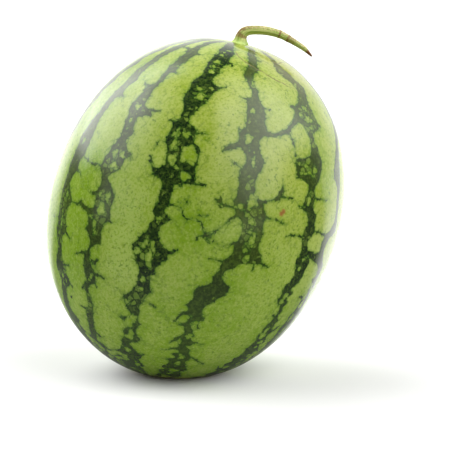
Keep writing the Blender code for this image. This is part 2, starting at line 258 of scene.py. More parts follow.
# Dark branches that the front shows: rows of (degrees from the stem, degrees round it, half width in mm)
BRANCHES = (
    ((25.4, -95, 1.2), (25, -93, 0.6), (26.5, -91.5, 0.2)),
    ((37.9, -97, 2), (37.6, -95.4, 1.3), (36.4, -92.3, 0.3)),
    ((54.2, -109, 0.8), (54.3, -111.8, 0.3)),
    ((62.4, -109.5, 0.9), (62.3, -111.3, 0.3)),
    ((60, -100, 0.8), (60.6, -97.6, 0.8), (61.8, -96, 0.7), (64, -95.2, 0.5), (66.2, -95.1, 0.6),
     (68, -95.4, 1.2)),
    ((56.6, -99, 0.7), (55.9, -97.4, 0.4), (55.5, -94.6, 0.25)),
    ((73.8, -95, 1.2), (73.9, -93.3, 0.9), (73.4, -89.6, 0.2)),
    ((74.2, -108.6, 1.3), (74.6, -110.3, 0.7), (75.4, -111.2, 0.2)),
    ((73.6, -110, 0.6), (71.8, -112, 0.3), (70.2, -113.6, 0.2)),
    ((75.2, -99.6, 0.8), (76.2, -98.6, 0.4)),
    ((83.4, -101.8, 0.6), (83.5, -99, 0.25), (83.4, -96.5, 0.15), (86, -94.7, 0.1), (87.3, -94, 0.1)),
    ((87.3, -94, 0.1), (85.7, -90.4, 0.12), (87.2, -87.4, 0.15), (89.4, -86.4, 0.25), (90.6, -85.2, 0.5)),
    ((85, -90, 0.1), (83.6, -86, 0.05)),
    ((89, -99.6, 0.7), (88.6, -98.4, 0.2)),
    ((101.2, -97, 1.4), (101, -95.2, 0.4)),
    ((110.4, -100.3, 0.7), (110.8, -98.8, 0.2)),
    ((122, -110.4, 1), (123.8, -112.2, 0.4)),
    ((19.4, -69, 1), (19.2, -66.5, 0.5)),
    ((38.9, -78, 0.9), (38.9, -80.5, 0.5), (38.6, -83.4, 0.25)),
    ((41, -69.6, 0.8), (41.2, -66.4, 0.25)),
    ((56.2, -80.6, 2.2), (57.6, -83.4, 1.7), (58.8, -85.2, 1.5), (59.6, -86, 0.5)),
    ((50.3, -68.6, 2.4), (50.2, -66, 1.5), (49.6, -62.9, 1.3), (48, -58, 1.8), (45.5, -54.3, 1.6),
     (42.8, -50.6, 2.2)),
    ((48, -56.4, 0.6), (50.4, -54.6, 0.35), (52.9, -53.3, 0.3), (56, -53, 0.3)),
    ((62, -112.6, 0.25), (66, -113.5, 0.2)),
    ((38.4, -50.5, 1.3), (38, -52.4, 0.8)),
    ((78.6, -77, 0.9), (78.6, -81.6, 0.7), (77.6, -83.4, 0.9), (77.2, -84.8, 0.6)),
    ((79.6, -82.3, 0.4), (77.6, -82.6, 0.6), (76.2, -83, 0.4)),
    ((81.6, -75.6, 0.9), (83, -77, 0.4), (85.1, -78.6, 0.15), (88.1, -81, 0.08)),
    ((91.6, -73, 0.8), (92.3, -75, 0.2), (93.9, -77.8, 0.12), (92.7, -81.4, 0.08)),
    ((99.5, -75.4, 1), (99.4, -78, 0.4), (99.4, -81.2, 0.12)),
    ((101.2, -97, 0.3), (99.1, -93.6, 0.08)),
    ((80.2, -95.8, 0.1), (81.3, -94.3, 0.1)),
    ((80.6, -64.9, 0.3), (79.7, -59.6, 0.1), (80.8, -55, 0.1)),
    ((121.4, -103.4, 0.3), (121.8, -99.7, 0.1), (123.1, -96.2, 0.08)),
    ((68, -114.3, 0.08), (71, -112.2, 0.12), (73.4, -110.4, 0.3)),
    ((50.3, -81.4, 0.08), (51.9, -78.2, 0.2)),
    ((62.7, -81.8, 0.08), (64.3, -77, 0.2)),
    ((77.2, -145.4, 0.2), (74.4, -146.3, 0.1)),
    ((95.6, -147.7, 0.2), (97.2, -145.6, 0.12), (100.4, -147.2, 0.3)),
    ((74.8, -66.2, 0.9), (73.6, -63.6, 0.45), (72.7, -61.5, 0.8), (71.8, -59.6, 1.8), (70, -58.6, 1.8),
     (67, -58.3, 0.5)),
    ((71.2, -58.4, 1.4), (71.3, -56, 0.5), (71.2, -52.8, 0.25)),
    ((79.6, -63.8, 0.9), (79.8, -61.4, 0.25)),
    ((97, -60.8, 1.2), (97.8, -58.8, 0.6), (98, -56.8, 0.25)),
    ((97.6, -63.4, 1), (100.2, -63, 0.3)),
    ((91.3, -85.2, 1.1), (91, -84, 1.8), (91.7, -82.8, 0.9)),
    ((91.2, -83.6, 0.9), (89.4, -82, 0.5), (88.2, -81.6, 0.2)),
    ((91.4, -85, 0.8), (91.8, -87, 0.4), (93.8, -88, 0.15)),
    ((92.4, -84, 0.8), (93.2, -82.6, 0.3)),
    ((73.8, -47, 0.6), (73.4, -48.6, 0.25)),
    ((63.2, -50.8, 0.8), (63.6, -52, 0.3)),
    ((84.8, -44, 0.7), (84.6, -47.5, 0.4), (84.7, -50.8, 0.3), (85.8, -52.4, 0.1)),
    ((82.4, -37.4, 0.7), (82.4, -34.5, 0.35), (83.2, -30.5, 0.6), (84, -28, 1)),
    ((91.2, -38.4, 2.2), (91.9, -35, 2.6), (92.6, -31.6, 3.4), (92.8, -28, 3.6), (91.6, -26.4, 3)),
    ((43.4, -34.4, 0.9), (44.2, -32.6, 0.3)),
    ((70.2, -40.6, 0.5), (70, -36, 0.25), (70.4, -32, 0.2)),
    ((24.4, -123, 1), (24.8, -120.4, 0.3)),
    ((23, -135, 1.2), (22.4, -139, 0.9), (22.8, -144, 0.9)),
    ((35.5, -125, 0.8), (36, -122.4, 0.2)),
    ((44.4, -131.8, 1), (43.9, -135.8, 0.3)),
    ((53.2, -123, 1.4), (52.6, -120.8, 0.5), (52, -118.4, 0.2)),
    ((54.4, -123, 1.6), (54.6, -121.6, 1.2)),
    ((71, -124, 0.9), (71.4, -120.9, 0.3)),
    ((70.2, -124.6, 0.5), (70.4, -122, 0.5), (72.2, -121.4, 0.3)),
    ((78, -133.6, 0.8), (77.8, -135.6, 0.5), (78.6, -138, 0.9), (78.2, -141, 0.4), (77.4, -145.4, 0.5)),
    ((88.5, -131.8, 0.7), (88.5, -134, 0.3)),
    ((94.6, -131.6, 1.5), (95.4, -134, 1.5), (94.4, -136.8, 1.5), (93.6, -138.6, 1.3), (94.9, -140.6, 0.4),
     (94.8, -144.6, 0.7)),
    ((96.2, -123, 0.8), (96.4, -121.6, 0.3)),
    ((102.2, -132.2, 0.8), (102.2, -133.6, 0.3)),
    ((110.8, -131, 0.9), (111.9, -134.4, 0.6), (113.3, -137.6, 0.25)),
    ((113.6, -126.4, 1), (112.6, -125.4, 0.5), (112, -124.8, 0.2)),
    ((113, -127.6, 0.6), (114.6, -127, 0.3)),
    ((117.8, -125.8, 0.9), (117.6, -122.6, 0.8), (118.6, -120.4, 0.3)),
    ((121, -125.6, 0.9), (122.4, -124.6, 0.3)),
    ((124, -131.6, 0.9), (125.2, -133.4, 0.3)),
    ((132.6, -131.4, 0.8), (133.2, -134.4, 0.6), (132.8, -136.4, 0.3)),
    ((83.2, -147, 0.6), (83.3, -144.6, 0.35), (84.8, -142.4, 0.2)),
    ((107, -145, 0.7), (108.6, -141.8, 0.3)),
    ((119.4, -145, 1), (118.8, -141.6, 0.5)),
    ((126, -141.8, 0.9), (126.6, -140.4, 0.4)),
    ((131.4, -143.8, 0.5), (131.1, -142.8, 0.3)),
    ((103.6, -156.9, 0.3), (103.6, -156.1, 0.3)),
    ((50.8, -144.6, 0.7), (51.2, -142.4, 0.2)),
)

# Light islands inside the stripes: (degrees from the stem, degrees round it, half length, half width),
# with both halves in degrees
ISLANDS = (
    (25.8, -103.8, 1, 2.3), (28.6, -104.6, 0.9, 2), (31.2, -103.4, 1.1, 2), (17.4, -100.4, 0.5, 2.4),
    (21.4, -103.2, 0.6, 1.6), (39.8, -105.2, 0.5, 1.6), (42.4, -103.2, 1.3, 2.6), (43.4, -105.6, 0.5, 0.8),
    (57.6, -102.7, 0.9, 1.8), (58.2, -106.8, 1.7, 1.3), (62.6, -106.1, 1.7, 1.4), (67.4, -104.8, 1.9, 1.7),
    (64.3, -98.9, 3.2, 3), (72.1, -98.3, 1.5, 2.1), (69.8, -102.3, 0.8, 0.9), (89.5, -103.1, 0.8, 1.2),
    (99.3, -105.6, 1.4, 0.8), (99.6, -103.1, 1.5, 0.8), (103.8, -108.5, 1.2, 1.5),
    (101.2, -106.6, 0.9, 0.8), (105, -103.3, 3.2, 1.5), (101.4, -102.6, 1, 1), (113.6, -104.1, 1, 0.9),
    (117.6, -104.2, 0.8, 1.2), (124.2, -108.9, 1.2, 1.2), (42.8, -76, 0.9, 1.2), (53.3, -76.3, 1.6, 1.9),
    (61, -73.1, 1.5, 1), (57, -75.2, 0.5, 0.5), (31.6, -76.6, 1.4, 0.5), (78, -74.8, 1.2, 1.8),
    (75, -70.4, 2.3, 2.3), (78.2, -70.6, 0.5, 1.2), (80.2, -71.2, 0.9, 1), (82.4, -69.3, 1.1, 1.3),
    (86, -68.6, 1, 1.1), (86.4, -66.8, 0.9, 0.7), (89.8, -66.8, 2.4, 1.1), (93, -68.6, 1.2, 0.8),
    (96, -66.8, 1.1, 1.2), (91, -69, 0.5, 0.4), (37.8, -41.9, 1, 1.7), (41.9, -41.6, 1.4, 2.8),
    (40.9, -46.7, 0.8, 1.3), (45, -40.8, 0.5, 1.6), (58.4, -51, 0.6, 0.9), (58.9, -46.8, 0.6, 1.2),
    (61.5, -48.5, 0.6, 1.6), (60.9, -44.5, 0.6, 1), (59.8, -41.5, 1.3, 1.1), (62.1, -42.4, 0.5, 0.8),
    (68.2, -43.7, 0.7, 0.5), (71.2, -44, 1.6, 0.9), (73.6, -46, 0.5, 0.5), (92.4, -37.6, 0.6, 1.2),
    (97.4, -40, 0.7, 1), (93.6, -39.6, 0.5, 0.6), (53.1, -129.6, 1.1, 1.5), (58.5, -129.5, 0.9, 0.7),
    (71.8, -129.2, 1.7, 1.3), (71.6, -125.6, 1.4, 1.4), (76, -127.6, 1.6, 1.8), (76.8, -126, 0.8, 0.8),
    (88, -129.2, 1.1, 0.8), (88, -125.8, 1.6, 1.2), (93, -127.3, 2.3, 1.8), (97, -131.3, 0.7, 1.1),
    (99, -128.9, 1.4, 0.8), (102, -128.2, 1.1, 0.7), (119, -127.6, 0.8, 0.6), (61.6, -128.8, 0.5, 0.4),
    (93.6, -148.7, 1.6, 0.8), (103.4, -149.2, 2.2, 0.8), (72, -151, 1.2, 0.8), (124, -148, 0.8, 1),
    (22, -163.5, 1, 2), (33, -164.4, 1.2, 1.2), (43, -166.6, 1.2, 1.2), (50, -167.4, 1.4, 0.9),
    (58, -168, 1.3, 1.2), (69, -169.4, 1.6, 1.2),
)

# Creases that run out from the stalk, the tan shoulder, the healed scratch and the ground spot
CREASES = (
    ((17, -92), (19.4, -89), (21.2, -84), (22.6, -79), (24.4, -72.5), (25.2, -68), (27, -63), (28.4, -56),
     (29.4, -49.5)),
    ((13, -66), (15.4, -58), (17.6, -50), (18.4, -42), (17.6, -34)),
)
SHOULDER_PLACE = (18, -24)
SCRATCH_PLACES = ((76.5, -56.3), (77.3, -57))
SCRATCH_REACH_MM = 3.2
GROUND_SPOT_MM = (-4, 2, 0)

# Paler (above 0) and fresher green (below 0) patches:
# (degrees from the stem, degrees round it, reach in mm, strength)
PATCHES = (
    (38, -88, 30, 0.55), (66, -116, 26, 0.35), (106, -114, 28, 1), (16, -160, 16, 0.9), (58, -61, 26, 0.25),
    (69, -87, 9, 0.5), (77, -87, 8, 0.4), (97, -32, 34, 0.9), (93, -32, 18, 1.3), (60, -88, 16, 0.6),
    (75, -61, 10, 0.5), (76, -140, 13, -0.9), (50, -93.5, 8, -0.5), (58, -93, 8, -0.6), (67, -92, 9, -0.35),
    (76, -92, 9, -0.25), (36, -116, 18, -0.35), (112, -72, 30, -0.4), (48, -34, 26, -0.35),
    (67, -33, 17, -0.8), (38, -148, 24, -1), (60, -158, 22, -1.4), (108, -140, 34, -1.3),
    (90, -90, 18, -1.05), (64.3, -98.9, 4.5, -1), (72.1, -98.3, 3.2, -0.9), (109, -126.5, 4.8, -0.9),
    (84, -142, 16, -0.4), (118, -78, 36, -0.3),
)

# Places where a stripe opens into a net of thin dark lines, with the same columns
NETS = (
    (29, -103.9, 8, 0.5), (20.5, -102.5, 5, 0.5), (41.3, -103.8, 8, 0.85), (52, -105.5, 6, 0.3),
    (59.3, -104.3, 9, 0.45), (65, -105.9, 8, 0.65), (72.5, -103, 8, 0.5), (82, -103.3, 6, 0.4),
    (90.8, -102.5, 7, 0.8), (102.5, -105.2, 12, 0.8), (123.5, -105.2, 10, 0.8), (33, -77, 6, 0.35),
    (40, -74, 6, 0.3), (46, -74, 6, 0.5), (49.5, -105, 6, 0.5), (52.7, -76.4, 6, 0.6),
    (61.3, -72.2, 6, 0.6), (69.9, -71.8, 7, 0.8), (79.9, -69.4, 9, 0.9), (87.1, -67.1, 10, 1),
    (101.1, -68.2, 12, 0.9), (39, -39.5, 9, 1.1), (43.6, -42, 9, 1.1), (50.5, -42, 6, 0.5),
    (17, -45, 5, 0.6), (23, -46, 5, 0.7), (28.5, -38, 5, 0.7), (85, -70.5, 6, 0.4), (111, -103.5, 6, 0.45),
    (118.5, -104, 7, 0.45), (124.5, -146.5, 8, 0.6), (131.5, -129.5, 8, 0.6), (59.4, -45.8, 9, 0.9),
    (70.1, -44.1, 7, 0.8), (87.8, -42.4, 11, 0.6), (54, -130, 7, 0.4), (76.3, -128.4, 10, 1),
    (91.3, -126.4, 11, 1), (99.9, -127, 8, 0.7), (128.7, -128.7, 12, 0.8), (91.4, -84, 5, 0.9),
    (94.1, -151.3, 9, 0.9), (100.8, -148.6, 9, 0.9), (108.8, -147.8, 9, 0.8), (117.6, -146.4, 8, 0.7),
)

# Sizes in mm of the cells that the veins, the short dashes, the stripes' nets and their threads follow
VEIN_CELL = 10.0
DASH_CELL = 4.6
NET_CELL = 5.4
THREAD_CELL = 2.4

# Strength and distance of the small relief
RIND_BUMP = (0.08, 0.0006)
STALK_BUMP = (0.35, 0.0005)

# How the pattern's distances are worked out, with sizes in degrees unless their name says mm
EDGE_EASE = 0.45
EDGE_SLOPE_STEP = 0.5
BRANCH_EASE_MM = 0.7
BRANCH_WINDOW = 6
ISLAND_WINDOW = 8
ISLAND_GAIN_MM = 0.22
ISLAND_UNEVENNESS = (0.15, 0.11)
FAR_FROM_STRIPE_MM = 40.0
TONE_PULL_LIMIT_MM = 2.0
KEEPS_ABOVE_ZERO = 1e-9

# The stripes that the front doesn't show are drawn by rule, with sizes in degrees unless their name says mm
PATTERN_SEED = 11
HIDDEN_STRIPE_PLACES = (12, 37, 62, 87, 112, 138, 163)
HIDDEN_TONES = (0.1, 1.0)
STRIPE_START = 7.0
STRIPE_END = 171.0
EDGE_AFTER_SEEN = 2
MARKS_AFTER_SEEN = 3
LEAST_MM_PER_DEGREE = 0.05
STRIPE_HALF_WIDTH_MM = 6.3
WIDEST_HALF_STRIPE = 10.0
STRIPE_SWAY = 2.2
STRIPE_SWAY_LENGTH = 15
STRIPE_SWELL_SHARE = 0.28
STRIPE_SWELL_LENGTH = 8
LOBE_LENGTH = (2.8, 9.0)
POINT_WIDTH_MM = (0.5, 3.0)
BITE_DEPTH_MM = (0.2, 2.8)
BRANCH_CHANCE = 0.32
BRANCH_STATIONS = (0, 0.35, 0.7, 1)
BRANCH_LEAST_SINE = 0.2
BRANCH_LENGTHS_MM = (3.0, 4.5, 6.0, 9.0, 14.0)
BRANCH_LENGTH_VARIETY = (0.8, 1.2)
BRANCH_DRIFT = (-3.5, 4.5)
BRANCH_WANDER = (-0.3, 0.3)
BRANCH_HALF_WIDTH_MM = (0.6, 1.3)
BRANCH_ROOT_MM = 0.8
BRANCH_END_MM = 0.2
ISLANDS_AFTER_START = 2
ISLANDS_BEFORE_END = 8
ISLAND_STEP = (1.6, 6.0)
ISLAND_SPREAD = 1.6
ISLAND_LEAST_SINE = 0.25
ISLAND_ASIDE = (-1.5, 1.5)
ISLAND_HALF_LENGTH = (0.6, 2.3)
ISLAND_HALF_WIDTH = (0.5, 1.15)

# Along one scallop: share of its length, and the shares of its point's width and its bite's depth there
SCALLOP = ((0, 1, 0), (0.12, 0.55, 0), (0.3, 0, 0.75), (0.5, 0, 1), (0.74, 0, 0.7))

# The studio, seen from the front: the camera's elevation, and the size of the picture in pixels
PICTURE_SIZE = 450
CAMERA_ELEVATION = math.radians(8)
CAMERA_DISTANCE = 1.5
PIXELS_PER_METRE = 1193.0
FRUIT_CENTRE_PIXEL = (195.5, 208.8)
SENSOR_WIDTH = 36.0
FLOOR_RADIUS = 40.0
FLOOR_SIDES = 96
FLOOR_DARKER_SHARE = 0.985
FLOOR_SHADE_SHARE = 0.111
FLOOR_LIT_SHARE = 0.77
FLOOR_GLOW = 0.75
SEEN_BRIGHTNESS = 0.95
WHITE = (1.0, 1.0, 1.0, 1.0)


def colour_setting(name, description, *rgb):
    """A colour that the sidebar shows."""
    return bpy.props.FloatVectorProperty(
        name=name, description=description, subtype="COLOR", size=4, min=0.0, max=1.0, default=(*rgb, 1.0))


def share_setting(name, description, default):
    """A share from 0 to 1 that the sidebar shows."""
    return bpy.props.FloatProperty(
        name=name, description=description, subtype="FACTOR", min=0.0, max=1.0, default=default)


def light_setting(name, description, default):
    """A brightness that the sidebar shows."""
    return bpy.props.FloatProperty(
        name=name, description="Brightness of the " + description, min=0.0, default=default)


class RindLooks(bpy.types.PropertyGroup):
    """Colours and finish of the rind."""

    light: colour_setting("Light rind", "Green between the stripes", 0.305, 0.395, 0.053)
    pale: colour_setting("Pale rind", "Paler patches between the stripes", 0.390, 0.475, 0.098)
    fresh: colour_setting("Fresh rind", "Fresher green patches between the stripes", 0.183, 0.305, 0.004)
    shoulder: colour_setting("Shoulder", "Tan wash beside the stalk", 0.60, 0.44, 0.17)
    # The next two are painted light and shade: they tint the light ground paler high on the right and greener
    # low on the left.
    painted_light_tint: colour_setting("Tint above", "Tint of the light ground high on the right", 1.0, 0.95, 1.0)
    painted_shade_tint: colour_setting("Tint below", "Tint of the light ground low on the left", 0.87, 1.0, 0.95)
    vein: colour_setting("Veins", "Thin green veins that run out of the stripes", 0.060, 0.150, 0.012)
    dark: colour_setting("Dark stripe", "Deepest green of the stripes", 0.005, 0.020, 0.002)
    dark_pale: colour_setting("Pale stripe", "Green of the stripes with the palest tone", 0.044, 0.068, 0.008)
    net: colour_setting("Stripe net", "Lighter green inside the stripes", 0.080, 0.145, 0.016)
    ground: colour_setting("Ground spot", "Pale patch where the fruit lay", 0.66, 0.55, 0.22)
    crease: colour_setting("Creases", "Thin healed lines near the stalk", 0.17, 0.15, 0.04)
    scratch: colour_setting("Scratch", "Small reddish scratch", 0.29, 0.085, 0.028)
    cork: colour_setting("Cork", "Brown of the blossom scar", 0.20, 0.105, 0.03)
    roughness: share_setting("Roughness", "Roughness of the waxy skin", 0.17)
    specular: share_setting("Wax", "Strength of the skin's reflection", 0.42)


class StalkLooks(bpy.types.PropertyGroup):
    """Colours and finish of the stalk."""

    green: colour_setting("Green", "Fresh green of the stalk", 0.27, 0.40, 0.05)
    yellow: colour_setting("Yellow streaks", "Lengthwise yellowish streaks", 0.60, 0.61, 0.22)
    base: colour_setting("Pale base", "Pale green where the stalk leaves the rind", 0.46, 0.60, 0.17)
    # Cream flecks on the top of the bend: partly real pale flecks, partly a painted highlight.
    cream_and_highlight: colour_setting("Cream flecks", "Pale flecks along the outer side", 0.80, 0.66, 0.36)
    brown: colour_setting("Dried brown", "Dried rings, stains and the cut tip", 0.22, 0.085, 0.025)
    roughness: share_setting("Roughness", "Roughness of the stalk", 0.5)
    specular: share_setting("Reflection", "Strength of the stalk's reflection", 0.4)


class StudioLooks(bpy.types.PropertyGroup):
    """Strength of each light of the studio, and the floor's tone."""

    left: light_setting("Left softbox", "high softbox on the left", 3.9)
    right: light_setting("Right softbox", "wide softbox on the right", 3.3)
    strip: light_setting("Low light", "low light at the front left", 1.2)
    fill: light_setting("Fill", "dim room all round", 0.10)
    backdrop: light_setting("Backdrop", "white wall behind", 1.3)
    floor: colour_setting("Floor", "Tone of the plain floor", 0.78, 0.78, 0.78)


def smooth_hill(value, reach):
    """1 where the value is 0, falling smoothly to 0 past the reach."""
    return np.exp(-((value / reach) ** 2))


def skin_radius(polar, around):
    """Distance from the fruit's centre to its skin at these angles, as the solid has it."""
    skew = LONG_AXIS_LEAN - STEM_LEAN
    along = np.sin(polar) * np.cos(around) * math.sin(skew) + np.cos(polar) * math.cos(skew)
    from_axis = np.arccos(np.clip(along, -1, 1))
    oval = 1 / np.hypot(np.cos(from_axis) / (FRUIT_LENGTH / 2), np.sin(from_axis) / (FRUIT_WIDTH / 2))
    oval = oval * (1 + SHOULDER_BULGE * (1 - np.cos(4 * from_axis)))
    belly = np.sin(polar) ** 2
    ribs = RIB_HEIGHT * belly * np.cos(RIB_COUNT * around)
    small_lumps = SMALL_LUMP_SHARE * np.sin(3 * around + SMALL_LUMP_TWIST * polar)
    lumps = LUMP_HEIGHT * belly * (np.sin(2 * around + LUMP_TURN) + small_lumps)
    from_blossom = math.pi - polar
    ends = (
        STEM_HOLLOW_DEPTH * smooth_hill(polar, STEM_HOLLOW_REACH)
        + BLOSSOM_HOLLOW_DEPTH * smooth_hill(from_blossom, BLOSSOM_HOLLOW_REACH)
        - BLOSSOM_BUTTON_HEIGHT * smooth_hill(from_blossom, BLOSSOM_BUTTON_REACH)
    )
    return oval + ribs + lumps - ends


def skin_places(polar, around, lift=0.0):
    """Points on the skin at these angles, in the fruit's own frame, as rows of x, y and z."""
    radius = skin_radius(polar, around) + lift
    out = np.sin(polar) * radius
    return np.stack((out * np.cos(around), out * np.sin(around), np.cos(polar) * radius), axis=-1)


def places_in_mm(rows):
    """Points on the skin in mm, in the fruit's own frame, for rows of degrees from the stem and round it."""
    polar, around = np.radians(np.array(rows, dtype=float)).T
    return skin_places(polar, around) * MM


def leaning():
    """Turns the fruit's frame, with the stem along +Z, to how it stands."""
    return Matrix.Rotation(STEM_LEAN, 3, "Y")


def stand(places):
    """Turns and moves rows of points from the fruit's frame to how it stands."""
    return places @ np.array(leaning()).T + np.array(fruit_centre())


def fruit_centre():
    """The fruit's centre, from the centre of the flat spot."""
    polar = np.linspace(math.pi / 2, math.pi, LOWEST_POINT_STEPS + 1)
    low = skin_places(polar, np.zeros_like(polar)) @ np.array(leaning()).T
    lowest = low[np.argmin(low[:, 2])]
    end_curvature_radius = (FRUIT_WIDTH / 2) ** 2 / (FRUIT_LENGTH / 2)
    depth = FLAT_SPOT_RADIUS**2 / (2 * end_curvature_radius) + FLAT_SPOT_BLEND
    return Vector((-lowest[0], 0, -lowest[2] - depth))


def settle(places):
    """Presses points that would lie below the floor up to it, with a short run-in above it."""
    height = places[:, 2]
    blend = FLAT_SPOT_BLEND
    pressed = np.where(height <= -blend, 0, (height + blend) ** 2 / (4 * blend))
    places[:, 2] = np.where(height >= blend, height, pressed)
    return places


def rind_point(from_stem, round_stem):
    """The standing point on the rind at these degrees, in mm."""
    place = skin_places(np.radians([float(from_stem)]), np.radians([float(round_stem)]))
    return Vector(settle(stand(place))[0]) * MM


def turn_from(around, place):
    """Degrees round the stem from a place, between -180 and 180."""
    return (around - place + 180) % 360 - 180


def edge_at(polar, stations):
    """Reads a stripe's edge, given at some degrees from the stem, with its corners slightly eased."""
    above, here, below = (np.interp(polar + shift, *stations) for shift in (-EDGE_EASE, 0, EDGE_EASE))
    return 0.5 * here + 0.25 * (above + below)


def edge_inside(polar, around, stations, side):
    """Distance in mm inside a stripe's edge. Side is 1 for a left edge and -1 for a right one."""
    step = EDGE_SLOPE_STEP
    slope = (edge_at(polar + step, stations) - edge_at(polar - step, stations)) / (2 * step)
    across = MM_PER_DEGREE_ROUND * np.sin(np.radians(polar))
    away = turn_from(around, edge_at(polar, stations))
    return side * away * across / np.hypot(1, slope * across / MM_PER_DEGREE_DOWN)


def stripe_inside(polar, around, stripe):
    """Distance in mm inside a stripe, negative outside it."""
    left, right = stripe
    sides = np.minimum(edge_inside(polar, around, left, 1), edge_inside(polar, around, right, -1))
    ends = np.minimum(polar - left[0][0], left[0][-1] - polar) * MM_PER_DEGREE_DOWN
    return np.minimum(sides, ends)


def ruled_middle(centre, polar):
    """The middle of a stripe drawn by rule, which sways slightly on its way down."""
    return centre + STRIPE_SWAY * math.sin(polar / STRIPE_SWAY_LENGTH + centre)


def scalloped_edge(draw, centre, side, start):
    """One edge of a stripe drawn by rule: light lobes bite into it, with a dark point between each two."""
    stations, tips = [], []
    polar = start
    while polar < STRIPE_END:
        lobe, point, bite = [draw.uniform(*limits) for limits in (LOBE_LENGTH, POINT_WIDTH_MM, BITE_DEPTH_MM)]
        for share, widened, narrowed in SCALLOP:
            here = polar + share * lobe
            swell = 1 + STRIPE_SWELL_SHARE * math.sin(here / STRIPE_SWELL_LENGTH + 2 * centre)
            half_mm = STRIPE_HALF_WIDTH_MM * swell + widened * point - narrowed * bite
            per_degree = max(MM_PER_DEGREE_ROUND * math.sin(math.radians(here)), LEAST_MM_PER_DEGREE)
            half = min(half_mm / per_degree, WIDEST_HALF_STRIPE)
            stations.append((here, ruled_middle(centre, here) + side * half))
        tips.append(stations[-len(SCALLOP)])
        polar += lobe
    return np.array(stations).T, tips


def ruled_branch(draw, tip, side):
    """A short dark branch that runs out of a stripe from the tip of one of its points, and thins away."""
    polar, around = tip
    per_degree = MM_PER_DEGREE_ROUND * max(math.sin(math.radians(polar)), BRANCH_LEAST_SINE)
    length = draw.choice(BRANCH_LENGTHS_MM) * draw.uniform(*BRANCH_LENGTH_VARIETY)
    drift = draw.uniform(*BRANCH_DRIFT)
    first = draw.uniform(*BRANCH_HALF_WIDTH_MM)
    return tuple(
        (
            polar + share * drift + draw.uniform(*BRANCH_WANDER),
            around + side * (share * length - BRANCH_ROOT_MM) / per_degree,
            first * (1 - share) + BRANCH_END_MM,
        )
        for share in BRANCH_STATIONS
    )


def ruled_stripe(draw, centre, start):
    """A stripe drawn by rule from a place down to the blossom end, with its branches and islands."""
    left, left_tips = scalloped_edge(draw, centre, -1, start)
    right, right_tips = scalloped_edge(draw, centre, 1, start)
    branches = []
    for tips, side in ((left_tips, -1), (right_tips, 1)):
        branches += [ruled_branch(draw, tip, side) for tip in tips if draw.random() < BRANCH_CHANCE]
    islands = []
    polar = start + ISLANDS_AFTER_START
    while polar < STRIPE_END - ISLANDS_BEFORE_END:
        polar += draw.uniform(*ISLAND_STEP)
        spread = ISLAND_SPREAD / max(math.sin(math.radians(polar)), ISLAND_LEAST_SINE)
        around = ruled_middle(centre, polar) + draw.uniform(*ISLAND_ASIDE) * spread
        half_length = draw.uniform(*ISLAND_HALF_LENGTH)
        islands.append((polar, around, half_length, draw.uniform(*ISLAND_HALF_WIDTH) * spread))
    return (left, right), branches, islands


def joined_edge(rows, column, tail):
    """A seen edge, followed by the ruled one from where it ends."""
    places, edge = tail
    seen = np.array(rows, dtype=float)
    after = places > seen[-1, 0] + EDGE_AFTER_SEEN
    return np.concatenate((seen[:, 0], places[after])), np.concatenate((seen[:, column], edge[after]))


def whole_pattern():
    """Every stripe, branch and island of the rind: those that the front shows, and the rest by rule."""
    draw = random.Random(PATTERN_SEED)
    stripes, branches, islands = [], list(BRANCHES), list(ISLANDS)
    for rows, *tones in SEEN_STRIPES:
        last, left, right = rows[-1]
        tail, tail_branches, tail_islands = ruled_stripe(draw, (left + right) / 2, last)
        stripes.append(((joined_edge(rows, 1, tail[0]), joined_edge(rows, 2, tail[1])), tones))
        branches += [branch for branch in tail_branches if branch[0][0] > last + MARKS_AFTER_SEEN]
        islands += [island for island in tail_islands if island[0] > last + MARKS_AFTER_SEEN]
    for place in HIDDEN_STRIPE_PLACES:
        stripe, stripe_branches, stripe_islands = ruled_stripe(draw, place, STRIPE_START)
        stripes.append((stripe, (draw.uniform(*HIDDEN_TONES), draw.uniform(*HIDDEN_TONES))))
        branches += stripe_branches
        islands += stripe_islands
    return stripes, branches, islands


def union_eased(first, second, ease):
    """The larger of two distances, with the corner between them filled by an easy curve."""
    share = np.clip(0.5 + 0.5 * (first - second) / ease, 0, 1)
    return second * (1 - share) + first * share + ease * share * (1 - share)


def from_stretch(points, start, end):
    """The share of a stretch at which each point is nearest to it, and the way from there to the point."""
    run = end - start
    share = np.clip((points - start) @ run / max(run @ run, KEEPS_ABOVE_ZERO), 0, 1)
    return share, points - start - share[:, None] * run


def branch_inside(points, branch):
    """Distance in mm inside a branch, as a chain of stretches that each widen or thin evenly."""
    places = places_in_mm([row[:2] for row in branch])
    best = np.full(len(points), -FAR_FROM_STRIPE_MM)
    for start, end, first, last in zip(places, places[1:], branch, branch[1:]):
        share, offset = from_stretch(points, start, end)
        half_width = first[2] + share * (last[2] - first[2])
        best = np.maximum(best, half_width - np.linalg.norm(offset, axis=1))
    return best


def island_inside(polar, around, island):
    """Distance in mm inside a light island, which is an oval with an uneven outline."""
    from_stem, round_stem, half_length, half_width = island
    down = (polar - from_stem) / half_length
    across = turn_from(around, round_stem) / half_width
    bearing = np.arctan2(across, down)
    coarse, fine = ISLAND_UNEVENNESS
    uneven = 1 + coarse * np.sin(3 * bearing + 7 * from_stem) + fine * np.sin(5 * bearing + 3 * round_stem)
    from_middle = np.hypot(down, across) / uneven
    smaller_half = min(half_length, half_width * math.sin(math.radians(from_stem))) * MM_PER_DEGREE_ROUND
    return (1 - from_middle) * smaller_half + ISLAND_GAIN_MM


